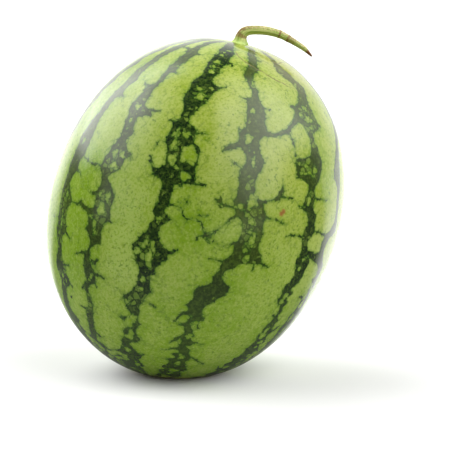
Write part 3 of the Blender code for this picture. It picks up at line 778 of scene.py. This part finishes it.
def stripe_distance(polar, around, pattern):
    """At each point, the distance in mm inside the dark pattern, below 0 outside it, and the tone there."""
    stripes, branches, islands = pattern
    degrees_down, degrees_round = np.degrees(polar), np.degrees(around)
    dark = np.full(len(polar), -FAR_FROM_STRIPE_MM)
    weight = np.full(len(polar), KEEPS_ABOVE_ZERO)
    toned = 0.5 * weight
    for stripe, tones in stripes:
        inside = stripe_inside(degrees_down, degrees_round, stripe)
        dark = np.maximum(dark, inside)
        pull = np.exp(np.clip(inside, -FAR_FROM_STRIPE_MM, TONE_PULL_LIMIT_MM) / TONE_REACH_MM)
        weight += pull
        toned += pull * np.interp(degrees_down, TONE_TURNS_FROM_STEM, tones)
    points = skin_places(polar, around) * MM
    for branch in branches:
        places = [row[0] for row in branch]
        near = (degrees_down > min(places) - BRANCH_WINDOW) & (degrees_down < max(places) + BRANCH_WINDOW)
        dark[near] = union_eased(dark[near], branch_inside(points[near], branch), BRANCH_EASE_MM)
    for island in islands:
        near = np.abs(degrees_down - island[0]) < ISLAND_WINDOW
        light = island_inside(degrees_down[near], degrees_round[near], island)
        dark[near] = np.minimum(dark[near], -light)
    return dark, toned / weight


def patchwork(points, patches):
    """Sum of soft round patches at each point."""
    total = np.zeros(len(points))
    for from_stem, round_stem, reach, strength in patches:
        middle = places_in_mm([(from_stem, round_stem)])
        total += strength * smooth_hill(np.linalg.norm(points - middle, axis=1), reach)
    return total


def crease_distance(points):
    """Distance in mm from the nearest crease, above 0 on one side of it and below 0 on the other."""
    best = np.full(len(points), FAR_FROM_STRIPE_MM)
    for crease in CREASES:
        places = places_in_mm(crease)
        for start, end in zip(places, places[1:]):
            offset = from_stretch(points, start, end)[1]
            away = np.linalg.norm(offset, axis=1)
            first_side = offset @ np.cross(end - start, start) >= 0
            best = np.where(away < np.abs(best), np.where(first_side, away, -away), best)
    return best


class Sheet:
    """A material's nodes, added and joined so that a pattern reads like a formula."""

    def __init__(self, name):
        self.material = bpy.data.materials.new(name)
        self.material.use_nodes = True
        self.tree = self.material.node_tree
        self.shader = self.tree.nodes["Principled BSDF"]

    def add(self, kind, *values, **settings):
        """Adds a node, sets it up, and gives its inputs numbers, colours or other nodes' sockets in order."""
        node = self.tree.nodes.new(kind)
        for setting, value in settings.items():
            setattr(node, setting, value)
        for socket, value in zip(node.inputs, values):
            self.give(socket, value)
        return node

    def give(self, socket, value):
        """Joins a socket to another, or sets it, or leaves it as it is for None."""
        if isinstance(value, bpy.types.NodeSocket):
            self.tree.links.new(value, socket)
        elif value is not None:
            socket.default_value = value

    def give_named(self, node, values):
        """Gives a node's inputs their values by name."""
        for name, value in values.items():
            self.give(node.inputs[name], value)

    def math(self, operation, *values):
        return self.add("ShaderNodeMath", *values, operation=operation).outputs[0]

    def chain(self, operation, total, *others):
        """Joins several values by one operation, two at a time."""
        for value in others:
            total = self.math(operation, total, value)
        return total

    def times(self, *values):
        return self.chain("MULTIPLY", *values)

    def plus(self, *values):
        return self.chain("ADD", *values)

    def minus(self, first, second):
        return self.math("SUBTRACT", first, second)

    def step(self, value, low, high, first=0, last=1):
        """A smooth run from first to last as the value goes from low to high."""
        node = self.add("ShaderNodeMapRange", value, low, high, first, last, interpolation_type="SMOOTHSTEP")
        return node.outputs[0]

    def mix(self, share, first, second, blend="MIX"):
        """The first colour where the share is 0, and the second where it is 1."""
        node = self.add("ShaderNodeMix", share, data_type="RGBA", blend_type=blend)
        self.give(node.inputs[6], first)
        self.give(node.inputs[7], second)
        return node.outputs[2]

    def layers(self, colour, *layers):
        """A colour with others laid over it in order, each by its share."""
        for share, over in layers:
            colour = self.mix(share, colour, over)
        return colour

    def attribute(self, name, output="Fac"):
        """A value that the mesh holds at each of its points."""
        return self.add("ShaderNodeAttribute", attribute_name=name).outputs[output]

    def axes(self, vector):
        """A vector's x, y and z."""
        return self.add("ShaderNodeSeparateXYZ", vector).outputs

    def noise(self, vector, size, detail, roughness=0.5):
        """Cloudy noise whose blotches are about this size, in the vector's own unit."""
        return self.add("ShaderNodeTexNoise", vector, None, 1 / size, detail, roughness).outputs

    def cloud(self, vector, size, detail=2, roughness=0.5):
        """The noise as a value about 0.5."""
        return self.noise(vector, size, detail, roughness)[0]

    def drift(self, vector, size, reach, detail=2, roughness=0.5):
        """The noise as a value about 0, as much as half the reach either way."""
        return self.times(self.minus(self.cloud(vector, size, detail, roughness), 0.5), reach)

    def cells(self, vector, size, feature="F1"):
        """Rounded cells of about this size."""
        return self.add("ShaderNodeTexVoronoi", vector, None, 1 / size, feature=feature).outputs

    def from_wall(self, vector, size):
        """Distance from the walls between cells of about this size, in the vector's own unit."""
        return self.times(self.cells(vector, size, "DISTANCE_TO_EDGE")[0], size)

    def shifted(self, vector, size, detail, reach):
        """A vector moved about by a noise's colour, up to this reach."""
        colour = self.noise(vector, size, detail)[1]
        centred = self.add("ShaderNodeVectorMath", colour, (0.5,) * 3, operation="SUBTRACT")
        pushed = self.add("ShaderNodeVectorMath", centred.outputs[0], operation="SCALE")
        pushed.inputs["Scale"].default_value = 2 * reach
        return self.add("ShaderNodeVectorMath", vector, pushed.outputs[0], operation="ADD").outputs[0]

    def near(self, vector, place, low, high):
        """1 within the low distance of a place, falling to 0 at the high one."""
        away = self.add("ShaderNodeVectorMath", vector, tuple(place), operation="DISTANCE").outputs["Value"]
        return self.step(away, low, high, 1, 0)

    def millimetres(self):
        """The object's own coordinates, in mm."""
        place = self.add("ShaderNodeTexCoord").outputs["Object"]
        return self.add("ShaderNodeMapping", place, None, None, (MM, MM, MM)).outputs[0]

    def finish(self, values, relief, strength, distance):
        """Gives the shader its values and a small relief, and returns the material."""
        bump = self.add("ShaderNodeBump")
        self.give_named(bump, {"Strength": strength, "Distance": distance, "Height": relief})
        self.give_named(self.shader, {**values, "Normal": bump.outputs[0]})
        return self.material


def ragged_edge(sheet, place, stripe, vein_away, dash_away):
    """Distance inside the stripes, with a ragged outline that is drawn out to points where veins leave it."""
    coarse = sheet.drift(place, 4.5, 0.5)
    fine = sheet.drift(place, 1.5, 0.25)
    lobes = sheet.step(vein_away, 0, 3.0, 0.30, -0.15)
    cusps = sheet.step(dash_away, 0, 0.9, 0.35, -0.08)
    beside = sheet.step(stripe, -3.5, -0.4)
    drawn_out = sheet.times(sheet.step(vein_away, 0, 0.7, 1, 0), beside)
    return sheet.plus(stripe, coarse, fine, lobes, cusps, drawn_out)


def light_ground(sheet, looks, place, stripe, edge, vein_away, dash_away):
    """Colour between the stripes: paler and fresher patches, a painted light-and-shade tint, grain, short
    dashes, and veins that fade out.
    """
    across, _, height = sheet.axes(place)
    patches = sheet.plus(
        sheet.drift(place, 40, 1.3, 3, 0.55),
        sheet.drift(place, 13, 1.1, 3, 0.6),
        sheet.attribute("pale"),
        sheet.step(height, 25, 120, -0.5, 0),
        sheet.step(stripe, -15, -2, 0.18, -0.25),
    )
    # Painted light and shade: the ground is tinted paler high on the right, as if lit there, and greener low
    # on the left, as if in shade.
    painted_lit_side = sheet.step(sheet.plus(height, sheet.times(across, 0.7)), 110, 265)
    tint = sheet.mix(painted_lit_side, looks.painted_shade_tint, looks.painted_light_tint)
    mottle = sheet.cloud(place, 4.4, 4, 0.65)
    smudge = sheet.cloud(place, 5, 4, 0.7)
    grain = sheet.cloud(place, 2, 3, 0.75)
    fleck = sheet.step(sheet.cloud(place, 2.6, 1), 0.62, 0.70, 0, 0.48)
    gather = sheet.step(sheet.cloud(place, 16), 0.38, 0.62, 0.25, 1.25)
    dash_here = sheet.step(sheet.cloud(place, 4.5, 2, 0.6), 0.60, 0.68)
    dash = sheet.times(sheet.step(dash_away, 0.1, 0.9, 1, 0), dash_here, 0.30)
    vein_line = sheet.plus(sheet.step(vein_away, 0.1, 0.6, 0.7, 0), sheet.step(vein_away, 0, 1.8, 0.3, 0))
    broken = sheet.step(sheet.cloud(place, 9, 3), 0.51, 0.62)
    beside = sheet.step(stripe, -8, -1, 0.35, 1)
    ground = sheet.mix(sheet.step(patches, -0.15, 0.75), looks.light, looks.pale)
    ground = sheet.mix(sheet.step(patches, -0.9, -0.1, 0.85, 0), ground, looks.fresh)
    ground = sheet.layers(
        sheet.mix(1.0, ground, tint, "MULTIPLY"),
        (sheet.step(mottle, 0.38, 0.62, 0, 0.30), looks.pale),
        (sheet.step(edge, -2.4, 0, 0, 0.55), looks.vein),
        (sheet.step(smudge, 0.54, 0.70, 0, 0.50), looks.vein),
        (sheet.step(grain, 0.48, 0.66, 0, 0.62), looks.fresh),
        (sheet.step(grain, 0.32, 0.50, 0.50, 0), looks.pale),
        (sheet.times(fleck, gather), looks.vein),
        (dash, looks.vein),
        (sheet.times(vein_line, broken, beside, 0.65), looks.vein),
    )
    return ground, mottle


def dark_band(sheet, looks, place, edge, ground):
    """Colour of the stripes: a darker rim, and a net of dark lines that lets a lighter green through."""
    height = sheet.axes(place)[2]
    lower_deeper = sheet.step(height, 80, 165, 0.25, 1)
    rim_deeper = sheet.step(edge, 0.2, 1.6, 0.3, 1)
    tone = sheet.times(sheet.attribute("stripe_tone"), lower_deeper, rim_deeper)
    paint = sheet.mix(tone, looks.dark, looks.dark_pale)
    paint = sheet.mix(sheet.step(height, 55, 105, 0.22, 0), paint, looks.net)
    web_place = sheet.shifted(place, 3, 2, 1.2)
    drawn = sheet.add("ShaderNodeSeparateColor", sheet.cells(web_place, NET_CELL)[1]).outputs
    netted = sheet.plus(sheet.attribute("net"), sheet.drift(place, 10, 1.2))
    line = sheet.step(netted, 0.05, 0.75, 2.0, 0.42)
    mesh_open = sheet.times(
        sheet.step(sheet.minus(sheet.from_wall(web_place, NET_CELL), line), -0.15, 0.40),
        sheet.step(drawn[0], 0.08, 0.40, 0.25, 0.95),
        sheet.step(edge, 0.25, 0.85),
    )
    thread_line = sheet.step(sheet.from_wall(web_place, THREAD_CELL), 0.10, 0.50, 0.6, 0)
    through = sheet.mix(sheet.step(drawn[1], 0.15, 0.85, 0.25, 0.85), looks.net, ground)
    through = sheet.mix(sheet.times(thread_line, sheet.step(drawn[2], 0.3, 0.7)), through, paint)
    fog = sheet.step(sheet.cloud(place, 3.6, 3, 0.7), 0.45, 0.70, 0, 0.24)
    return sheet.layers(
        paint,
        (sheet.step(sheet.cloud(place, 2.4, 3, 0.75), 0.46, 0.68, 0, 0.36), looks.net),
        (sheet.times(fog, sheet.step(edge, 0.2, 1.2)), ground),
        (sheet.step(edge, 0.05, 1.0, 0.75, 0), looks.vein),
        (mesh_open, through),
    )


def rind_material(looks):
    """The rind: light ground with veins and speckles, dark netted stripes, scars and the ground spot."""
    sheet = Sheet("melon_rind")
    place = sheet.millimetres()
    stripe = sheet.attribute("stripe_mm")
    vein_away = sheet.from_wall(sheet.shifted(place, 7, 3, 3.2), VEIN_CELL)
    dash_away = sheet.from_wall(sheet.shifted(place, 5, 2, 2.4), DASH_CELL)
    edge = ragged_edge(sheet, place, stripe, vein_away, dash_away)
    ground, mottle = light_ground(sheet, looks, place, stripe, edge, vein_away, dash_away)
    dark = sheet.step(edge, -0.35, 0.35)

    soft_edge = sheet.shifted(place, 9, 3, 8)
    spot_edge = sheet.shifted(place, 16, 3, 9)
    fine_edge = sheet.shifted(place, 1.5, 2, 0.8)
    stem, blossom = rind_point(0, 0), rind_point(180, 0)
    shoulder = sheet.near(soft_edge, rind_point(*SHOULDER_PLACE), 12, 46)
    crease_away = sheet.math("ABSOLUTE", sheet.attribute("crease_mm"))
    crease_here = sheet.step(sheet.cloud(place, 6), 0.38, 0.55, 0.40, 0.90)
    strokes = [sheet.near(fine_edge, rind_point(*spot), 0.7, SCRATCH_REACH_MM) for spot in SCRATCH_PLACES]
    colour = sheet.layers(
        ground,
        (dark, dark_band(sheet, looks, place, edge, ground)),
        (sheet.times(shoulder, sheet.step(dark, 0, 1, 0.20, 0.10)), looks.shoulder),
        (sheet.times(sheet.step(crease_away, 0.25, 1.1, 1, 0), crease_here), looks.crease),
        (sheet.times(sheet.math("MAXIMUM", *strokes), 0.85), looks.scratch),
        (sheet.times(sheet.near(spot_edge, GROUND_SPOT_MM, 26, 52), 0.86), looks.ground),
        (sheet.near(spot_edge, blossom, 4, 9), looks.ground),
        (sheet.near(fine_edge, blossom, 2.6, 3.8), looks.cork),
        (sheet.times(sheet.near(soft_edge, stem, 16, 40), dark, 0.4), looks.crease),
        (sheet.near(fine_edge, stem, 9, 13), looks.pale),
    )
    values = {
        "Base Color": colour,
        "Roughness": sheet.step(mottle, 0.3, 0.7, looks.roughness - 0.03, looks.roughness + 0.05),
        "Specular IOR Level": looks.specular,
    }
    relief = sheet.plus(sheet.times(mottle, 0.6), sheet.times(dark, 0.5))
    return sheet.finish(values, relief, *RIND_BUMP)


def stalk_material(looks):
    """Green stalk with yellow lengthwise streaks, cream flecks on top of its bend that are partly a painted
    highlight, dried brown rings and stains, and a brown cut tip.
    """
    sheet = Sheet("melon_stalk")
    place = sheet.millimetres()
    along = sheet.attribute("stalk_share")
    grain = sheet.attribute("stalk_grain", "Vector")
    streak, fine = [sheet.cloud(grain, size, 3, 0.6) for size in (0.46, 0.15)]
    speck, fleck, blotch = [sheet.cloud(place, size, 3, 0.6) for size in (0.9, 1.7, 2.6)]
    outer = sheet.step(sheet.axes(grain)[0], 0.1, -0.7)
    past_foot = sheet.step(along, 0.17, 0.24)
    highlight_flecks = sheet.step(fleck, 0.44, 0.60, 0, 0.75)
    stained = sheet.step(blotch, 0.42, 0.56, 0, 0.8)
    freckled = sheet.step(speck, 0.53, 0.64, 0, 0.75)
    layers = [
        (sheet.step(fine, 0.45, 0.65, 0, 0.5), looks.green),
        (sheet.step(along, 0, 0.13, 0.85, 0), looks.base),
        # Cream flecks on the top of the bend: partly real pale flecks, partly a painted highlight.
        (sheet.times(outer, sheet.step(along, 0.22, 0.32), highlight_flecks), looks.cream_and_highlight),
        (sheet.times(past_foot, sheet.step(along, 0.30, 0.48, 1, 0), outer, stained), looks.brown),
        (sheet.times(freckled, sheet.step(outer, 0, 0.5, 0.12, 1), past_foot), looks.brown),
    ]
    for middle, reach, strength in STALK_BROWNINGS:
        away = sheet.math("ABSOLUTE", sheet.minus(along, middle))
        dried = sheet.step(away, reach * 0.4, reach, strength, 0)
        layers.append((sheet.times(dried, sheet.step(speck, 0.35, 0.52, 0.35, 1)), looks.brown))
    layers.append((sheet.step(sheet.plus(along, sheet.times(speck, 0.03)), 0.895, 0.935), looks.brown))
    streaked = sheet.mix(sheet.step(streak, 0.40, 0.60), looks.green, looks.yellow)
    values = {
        "Base Color": sheet.layers(streaked, *layers),
        "Roughness": sheet.step(speck, 0.3, 0.7, looks.roughness - 0.08, looks.roughness + 0.12),
        "Specular IOR Level": looks.specular,
    }
    return sheet.finish(values, sheet.plus(streak, sheet.times(speck, 0.5)), *STALK_BUMP)


def floor_material(tone):
    """Plain matt floor, barely uneven, that lights the fruit more from behind than from the front."""
    sheet = Sheet("studio_floor")
    place = sheet.add("ShaderNodeTexCoord").outputs["Object"]
    shares = (FLOOR_DARKER_SHARE, FLOOR_SHADE_SHARE)
    darker, shade = [tuple(share * value for value in tone[:3]) + (1.0,) for share in shares]
    right, back, _ = sheet.axes(place)
    aside = sheet.minus(sheet.times(sheet.math("ABSOLUTE", right), 0.51), sheet.times(right, 0.24))
    behind = sheet.step(sheet.minus(back, aside), -0.02, 0.12)
    paths = sheet.add("ShaderNodeLightPath").outputs
    seen, mirrored = paths["Is Camera Ray"], paths["Is Glossy Ray"]
    left_of_fruit = sheet.times(sheet.near(place, (-0.12, 0, 0), 0.22, 0.42), 0.9)
    front_right = sheet.times(mirrored, sheet.near(place, (0.55, -0.80, 0), 0.25, 0.52), 0.8)
    lit = sheet.math("MAXIMUM", behind, left_of_fruit)
    lit = sheet.times(lit, sheet.minus(1, sheet.times(mirrored, 0.75)))
    lit = sheet.times(sheet.chain("MAXIMUM", lit, behind, front_right), FLOOR_LIT_SHARE)
    even = sheet.mix(sheet.cloud(place, 0.5), darker, tone)
    sheet.give_named(sheet.shader, {
        "Base Color": sheet.mix(sheet.math("MAXIMUM", lit, seen), shade, even),
        "Emission Color": WHITE,
        "Emission Strength": sheet.times(behind, sheet.minus(1, seen), FLOOR_GLOW),
        "Roughness": 1.0,
        "Specular IOR Level": 0.0,
    })
    return sheet.material


def mesh_from(name, bm):
    """Turns a finished bmesh into a mesh."""
    mesh = bpy.data.meshes.new(name)
    bm.to_mesh(mesh)
    bm.free()
    return mesh


def mesh_object(name, mesh, material):
    """Puts a finished mesh in the scene as a piece at the origin."""
    mesh.materials.append(material)
    piece = bpy.data.objects.new(name, mesh)
    bpy.context.scene.collection.objects.link(piece)
    return piece


def spun_ball(rings, segments):
    """A ball of unit radius: half a circle of points spun about the stem's axis."""
    bm = bmesh.new()
    profile = [
        bm.verts.new((math.sin(math.pi * ring / rings), 0, math.cos(math.pi * ring / rings)))
        for ring in range(rings + 1)
    ]
    edges = [bm.edges.new(pair) for pair in zip(profile, profile[1:])]
    bmesh.ops.spin(
        bm, geom=profile + edges, cent=(0, 0, 0), axis=(0, 0, 1), angle=2 * math.pi, steps=segments,
        use_merge=True)
    bmesh.ops.remove_doubles(bm, verts=bm.verts, dist=1e-6)
    return bm


def ball_angles(bm):
    """Angles of the ball's points from the stem and round it, crowded together towards the front."""
    unit = np.array([vert.co[:] for vert in bm.verts])
    unit /= np.linalg.norm(unit, axis=1)[:, None]
    polar = np.arccos(np.clip(unit[:, 2], -1, 1))
    around = np.arctan2(unit[:, 1], unit[:, 0])
    return polar, around - FRONT_CROWDING * np.sin(around - FRONT)


def refine_along_edges(bm, pattern, reach):
    """Halves the faces that lie within a reach in mm of the pattern's edge."""
    bm.verts.index_update()
    from_edge = np.abs(stripe_distance(*ball_angles(bm), pattern)[0])
    near = [edge for edge in bm.edges if min(from_edge[vert.index] for vert in edge.verts) < reach]
    bmesh.ops.subdivide_edges(bm, edges=near, cuts=1, use_grid_fill=True)


def swell_heights(places):
    """Slow rise and fall of the skin, in metres."""
    return np.array([noise.noise(Vector(place) / SWELL_SIZE) for place in places]) * SWELL_HEIGHT


class MELON_OT_rind(bpy.types.Operator):
    """Makes the rind: a fine skin over the fruit, with the pattern's distances and tones as attributes"""

    bl_idname = "melon.rind"
    bl_label = "Make the rind"

    def execute(self, context):
        bm = spun_ball(RIND_RINGS, RIND_SEGMENTS)
        pattern = whole_pattern()
        refine_along_edges(bm, pattern, FIRST_REFINED_MM)
        refine_along_edges(bm, pattern, NEXT_REFINED_MM)
        bmesh.ops.recalc_face_normals(bm, faces=bm.faces)
        polar, around = ball_angles(bm)
        mesh = mesh_from("melon_rind", bm)
        stripe, tone = stripe_distance(polar, around, pattern)
        bare = skin_places(polar, around)
        points = bare * MM
        named = {
            "stripe_mm": stripe,
            "stripe_tone": tone,
            "crease_mm": crease_distance(points),
            "pale": patchwork(points, PATCHES),
            "net": patchwork(points, NETS),
        }
        for name, values in named.items():
            layer = mesh.attributes.new(name, "FLOAT", "POINT")
            layer.data.foreach_set("value", values.astype(np.float32))
        lift = swell_heights(bare) - CREASE_DEPTH * smooth_hill(named["crease_mm"], CREASE_WIDTH_MM)
        places = settle(stand(skin_places(polar, around, lift)))
        mesh.vertices.foreach_set("co", places.ravel())
        mesh.shade_smooth()
        mesh.update()
        rind = mesh_object("melon_rind", mesh, rind_material(context.scene.melon_rind))
        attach(rind, BODY)
        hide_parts(FRUIT_NODE)
        return {"FINISHED"}


def stalk_station(share):
    """Centre and radius of the stalk at a share of its route, by a smooth curve through the route."""
    last = len(STALK_ROUTE) - 1
    start = min(int(share * last), last - 1)
    blend = share * last - start
    knots = [STALK_ROUTE[max(0, min(last, start + offset))] for offset in (-1, 0, 1, 2)]
    weights = (
        0.5 * (-(blend**3) + 2 * blend**2 - blend),
        0.5 * (3 * blend**3 - 5 * blend**2 + 2),
        0.5 * (-3 * blend**3 + 4 * blend**2 + blend),
        0.5 * (blend**3 - blend**2),
    )
    columns = zip(*[(right, up, radius) for (right, up), radius in knots])
    right, up, radius = [sum(weight * value for weight, value in zip(weights, column)) for column in columns]
    return Vector((right, -STALK_FORWARD_SWAY * share**2, up)), max(radius, STALK_SMALLEST_RADIUS)


def stalk_frame(share, foot_direction):
    """Centre, radius, and the two directions across the stalk at a share of its route."""
    step = STALK_DIRECTION_STEP
    middle, radius = stalk_station(share)
    along = foot_direction.copy()
    if share > 0:
        along = stalk_station(min(1, share + step))[0] - stalk_station(share - step)[0]
    along.normalize()
    back = Vector((0, 1, 0))
    back = (back - along * back.dot(along)).normalized()
    return middle, radius, back.cross(along), back


def stalk_reach(share, radius, angle):
    """Distance of the stalk's surface from its middle: ridges, a ribbed flare and cracked dried rings."""
    ridge_height = STALK_RIDGE_SHARE * (1 - STALK_RIDGE_FADE * share)
    ridge = ridge_height * math.cos(STALK_RIDGES * angle + STALK_RIDGE_TWIST * share)
    furrow = STALK_FURROW_SHARE * math.cos(3 * STALK_RIDGES * angle + STALK_FURROW_TURN)
    reach = radius * (1 + ridge + furrow)
    flare = STALK_FLARE_REACH * math.exp(-share / STALK_FLARE_LENGTH)
    flare *= 1 - STALK_FLARE_LOPSIDED * math.cos(angle)
    reach += flare * (1 + STALK_FLARE_RIBS * math.cos(STALK_RIDGES * angle))
    for node in STALK_NODES:
        crack = node + STALK_CRACK_WANDER * math.sin(2 * angle)
        reach += STALK_NODE_HEIGHT * smooth_hill(share - node, STALK_NODE_REACH)
        reach -= STALK_CRACK_DEPTH * smooth_hill(share - crack, STALK_CRACK_REACH)
    return reach


def stalk_foot():
    """Where the stalk leaves the seat in the rind, and the stem's direction there."""
    up = leaning() @ Vector((0, 0, 1))
    level = np.zeros(1)
    seat_polar = math.asin(SEAT_RADIUS / skin_radius(level, level)[0])
    seat = skin_radius(level + seat_polar, level)[0] * math.cos(seat_polar)
    return fruit_centre() + up * seat, up


class MELON_OT_stalk(bpy.types.Operator):
    """Makes the stalk: a ribbed tube along its bend, flared into the rind and cut off slantwise"""

    bl_idname = "melon.stalk"
    bl_label = "Make the stalk"

    def execute(self, context):
        foot, up = stalk_foot()
        bm = bmesh.new()
        bmesh.ops.create_circle(bm, segments=STALK_SIDES, radius=1)
        bmesh.ops.spin(
            bm, geom=bm.verts[:] + bm.edges[:], cent=(0, 0, 0), axis=(0, 0, 1), dvec=(0, 0, 1 / STALK_RINGS),
            angle=0, steps=STALK_RINGS)
        bmesh.ops.holes_fill(bm, edges=[edge for edge in bm.edges if edge.is_boundary])
        share_layer = bm.verts.layers.float.new("stalk_share")
        grain_layer = bm.verts.layers.float_vector.new("stalk_grain")
        for vert in bm.verts:
            share = max(0, round(vert.co.z * STALK_RINGS) / STALK_RINGS)
            angle = math.atan2(vert.co.y, vert.co.x)
            middle, radius, right, back = stalk_frame(share, up)
            out = right * math.cos(angle) + back * math.sin(angle)
            sink = up * STALK_FLARE_SINK * math.exp(-share / STALK_SINK_LENGTH)
            vert[share_layer] = share
            vert[grain_layer] = Vector((math.cos(angle), math.sin(angle), STALK_GRAIN_LENGTH * share))
            vert.co = foot + middle - sink + out * stalk_reach(share, radius, angle)
        cut = bmesh.ops.bisect_plane(
            bm, geom=bm.verts[:] + bm.edges[:] + bm.faces[:], dist=1e-7, clear_outer=True,
            plane_co=foot + Vector(STALK_CUT_POINT), plane_no=Vector(STALK_CUT_NORMAL))
        rim = [item for item in cut["geom_cut"] if isinstance(item, bmesh.types.BMEdge)]
        face = bmesh.ops.edgeloop_fill(bm, edges=rim)["faces"]
        bmesh.ops.inset_region(
            bm, faces=face, thickness=STALK_CUT_RIM, depth=-STALK_CUT_HOLLOW, use_even_offset=True)
        bm.normal_update()
        bmesh.ops.recalc_face_normals(bm, faces=bm.faces)
        mesh = mesh_from("melon_stalk", bm)
        mesh.shade_smooth()
        mesh.set_sharp_from_angle(angle=STALK_SHARP_ANGLE)
        stalk = mesh_object("melon_stalk", mesh, stalk_material(context.scene.melon_stalk))
        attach(stalk, BODY)
        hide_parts(STALK_NODE)
        return {"FINISHED"}


class WorldSheet(Sheet):
    """The world's nodes."""

    def __init__(self, name):
        self.world = bpy.data.worlds.new(name)
        self.world.use_nodes = True
        self.tree = self.world.node_tree
        self.shader = self.tree.nodes["Background"]

    def band(self, value, starts, full, fades, ends):
        """1 in a band of the value, with soft edges."""
        return self.times(self.step(value, starts, full), self.step(value, fades, ends, 1, 0))


def studio_world(looks):
    """A dim room with softboxes on both sides, low lights and a white wall behind. Azimuth 0 is the front."""
    sheet = WorldSheet("studio")
    right, back, up = sheet.axes(sheet.add("ShaderNodeTexCoord").outputs["Generated"])
    azimuth = sheet.math("DEGREES", sheet.math("ARCTAN2", right, sheet.times(back, -1)))
    height = sheet.math("DEGREES", sheet.math("ARCSINE", up))
    # Brightness, and the degrees of azimuth and of height where each box starts, is full, fades and ends
    boxes = (
        (looks.left * 1.08, (-160, -128, -112, -104), (13, 18, 66, 82)),
        (looks.left, (-112, -104, -74, -40), (16, 27, 50, 76)),
        (looks.left * 0.5, (-125, -108, -84, -72), (36, 46, 52, 60)),
        (looks.strip, (-86, -72, -58, -44), (-10, 0, 14, 20)),
        (looks.right, (12, 32, 90, 124), (9, 25, 54, 72)),
        (looks.right * 0.35, (45, 70, 88, 115), (16, 32, 45, 60)),
        (looks.right * 0.50, (48, 64, 96, 124), (54, 64, 74, 88)),
        (looks.right * 0.65, (18, 38, 58, 78), (-20, 4, 12, 26)),
        (looks.backdrop * 0.9, (92, 120, 200, 201), (-91, -90, 42, 66)),
        (looks.backdrop, (-200, -190, -137, -125), (-91, -90, 60, 86)),
        (looks.backdrop * 0.9, (-166, -152, -135, -124), (-16, 2, 14, 26)),
        (looks.backdrop * 0.5, (-179, -176, -169, -163), (6, 13, 24, 34)),
    )
    lights = [
        sheet.times(sheet.band(azimuth, *sides), sheet.band(height, *heights), strength)
        for strength, sides, heights in boxes
    ]
    seen = sheet.add("ShaderNodeLightPath").outputs["Is Camera Ray"]
    total = sheet.plus(looks.fill, *lights)
    strength = sheet.add("ShaderNodeMix", seen, None, total, SEEN_BRIGHTNESS, data_type="FLOAT").outputs[0]
    sheet.give_named(sheet.shader, {"Color": WHITE, "Strength": strength})
    return sheet.world


def studio_camera():
    """The camera: in front, a little above, with a long lens, and the fruit's centre on its place."""
    back = Vector((0, -math.cos(CAMERA_ELEVATION), math.sin(CAMERA_ELEVATION)))
    up = Vector((0, math.sin(CAMERA_ELEVATION), math.cos(CAMERA_ELEVATION)))
    right = Vector((1, 0, 0))
    aside, above = [(PICTURE_SIZE / 2 - pixel) / PIXELS_PER_METRE for pixel in FRUIT_CENTRE_PIXEL]
    data = bpy.data.cameras.new("studio_camera")
    data.sensor_width = SENSOR_WIDTH
    data.lens = PIXELS_PER_METRE * CAMERA_DISTANCE * SENSOR_WIDTH / PICTURE_SIZE
    data.clip_end = 2 * FLOOR_RADIUS
    camera = bpy.data.objects.new("studio_camera", data)
    camera.location = fruit_centre() + right * aside - up * above + back * CAMERA_DISTANCE
    camera.rotation_euler = (math.pi / 2 - CAMERA_ELEVATION, 0, 0)
    bpy.context.scene.collection.objects.link(camera)
    return camera


class MELON_OT_studio(bpy.types.Operator):
    """Makes the plain floor, the soft lights and the camera"""

    bl_idname = "melon.studio"
    bl_label = "Make the studio"

    def execute(self, context):
        scene = context.scene
        looks = scene.melon_studio
        bm = bmesh.new()
        bmesh.ops.create_circle(bm, cap_ends=True, segments=FLOOR_SIDES, radius=FLOOR_RADIUS)
        floor = mesh_object("studio_floor", mesh_from("studio_floor", bm), floor_material(tuple(looks.floor)))
        scene.world = studio_world(looks)
        scene.camera = studio_camera()
        scene.view_settings.view_transform = "Standard"
        return {"FINISHED"}


class MELON_PT_panel(bpy.types.Panel):
    """Lists the settings and the steps in the sidebar."""

    bl_idname = "MELON_PT_panel"
    bl_label = "Whole Watermelon"
    bl_space_type = "VIEW_3D"
    bl_region_type = "UI"
    bl_category = "Melon"

    def draw(self, context):
        for name, group in GROUPS:
            box = self.layout.box()
            for setting in group.__annotations__:
                box.prop(getattr(context.scene, name), setting)
        for operator in OPERATORS:
            self.layout.operator(operator.bl_idname)


OPERATORS = (MELON_OT_studio, MELON_OT_rind, MELON_OT_stalk)
GROUPS = (("melon_rind", RindLooks), ("melon_stalk", StalkLooks), ("melon_studio", StudioLooks))


def register():
    """Adds the settings, the steps and the panel."""
    for name, group in GROUPS:
        bpy.utils.register_class(group)
        setattr(bpy.types.Scene, name, bpy.props.PointerProperty(type=group))
    for added in (*OPERATORS, MELON_PT_panel):
        bpy.utils.register_class(added)


def unregister():
    """Takes them away again."""
    for added in (MELON_PT_panel, *reversed(OPERATORS)):
        bpy.utils.unregister_class(added)
    for name, group in reversed(GROUPS):
        delattr(bpy.types.Scene, name)
        bpy.utils.unregister_class(group)


def main():
    """Makes everything in order."""
    register()
    bpy.ops.melon.studio()
    bpy.ops.melon.rind()
    bpy.ops.melon.stalk()


if __name__ == "__main__":
    main()
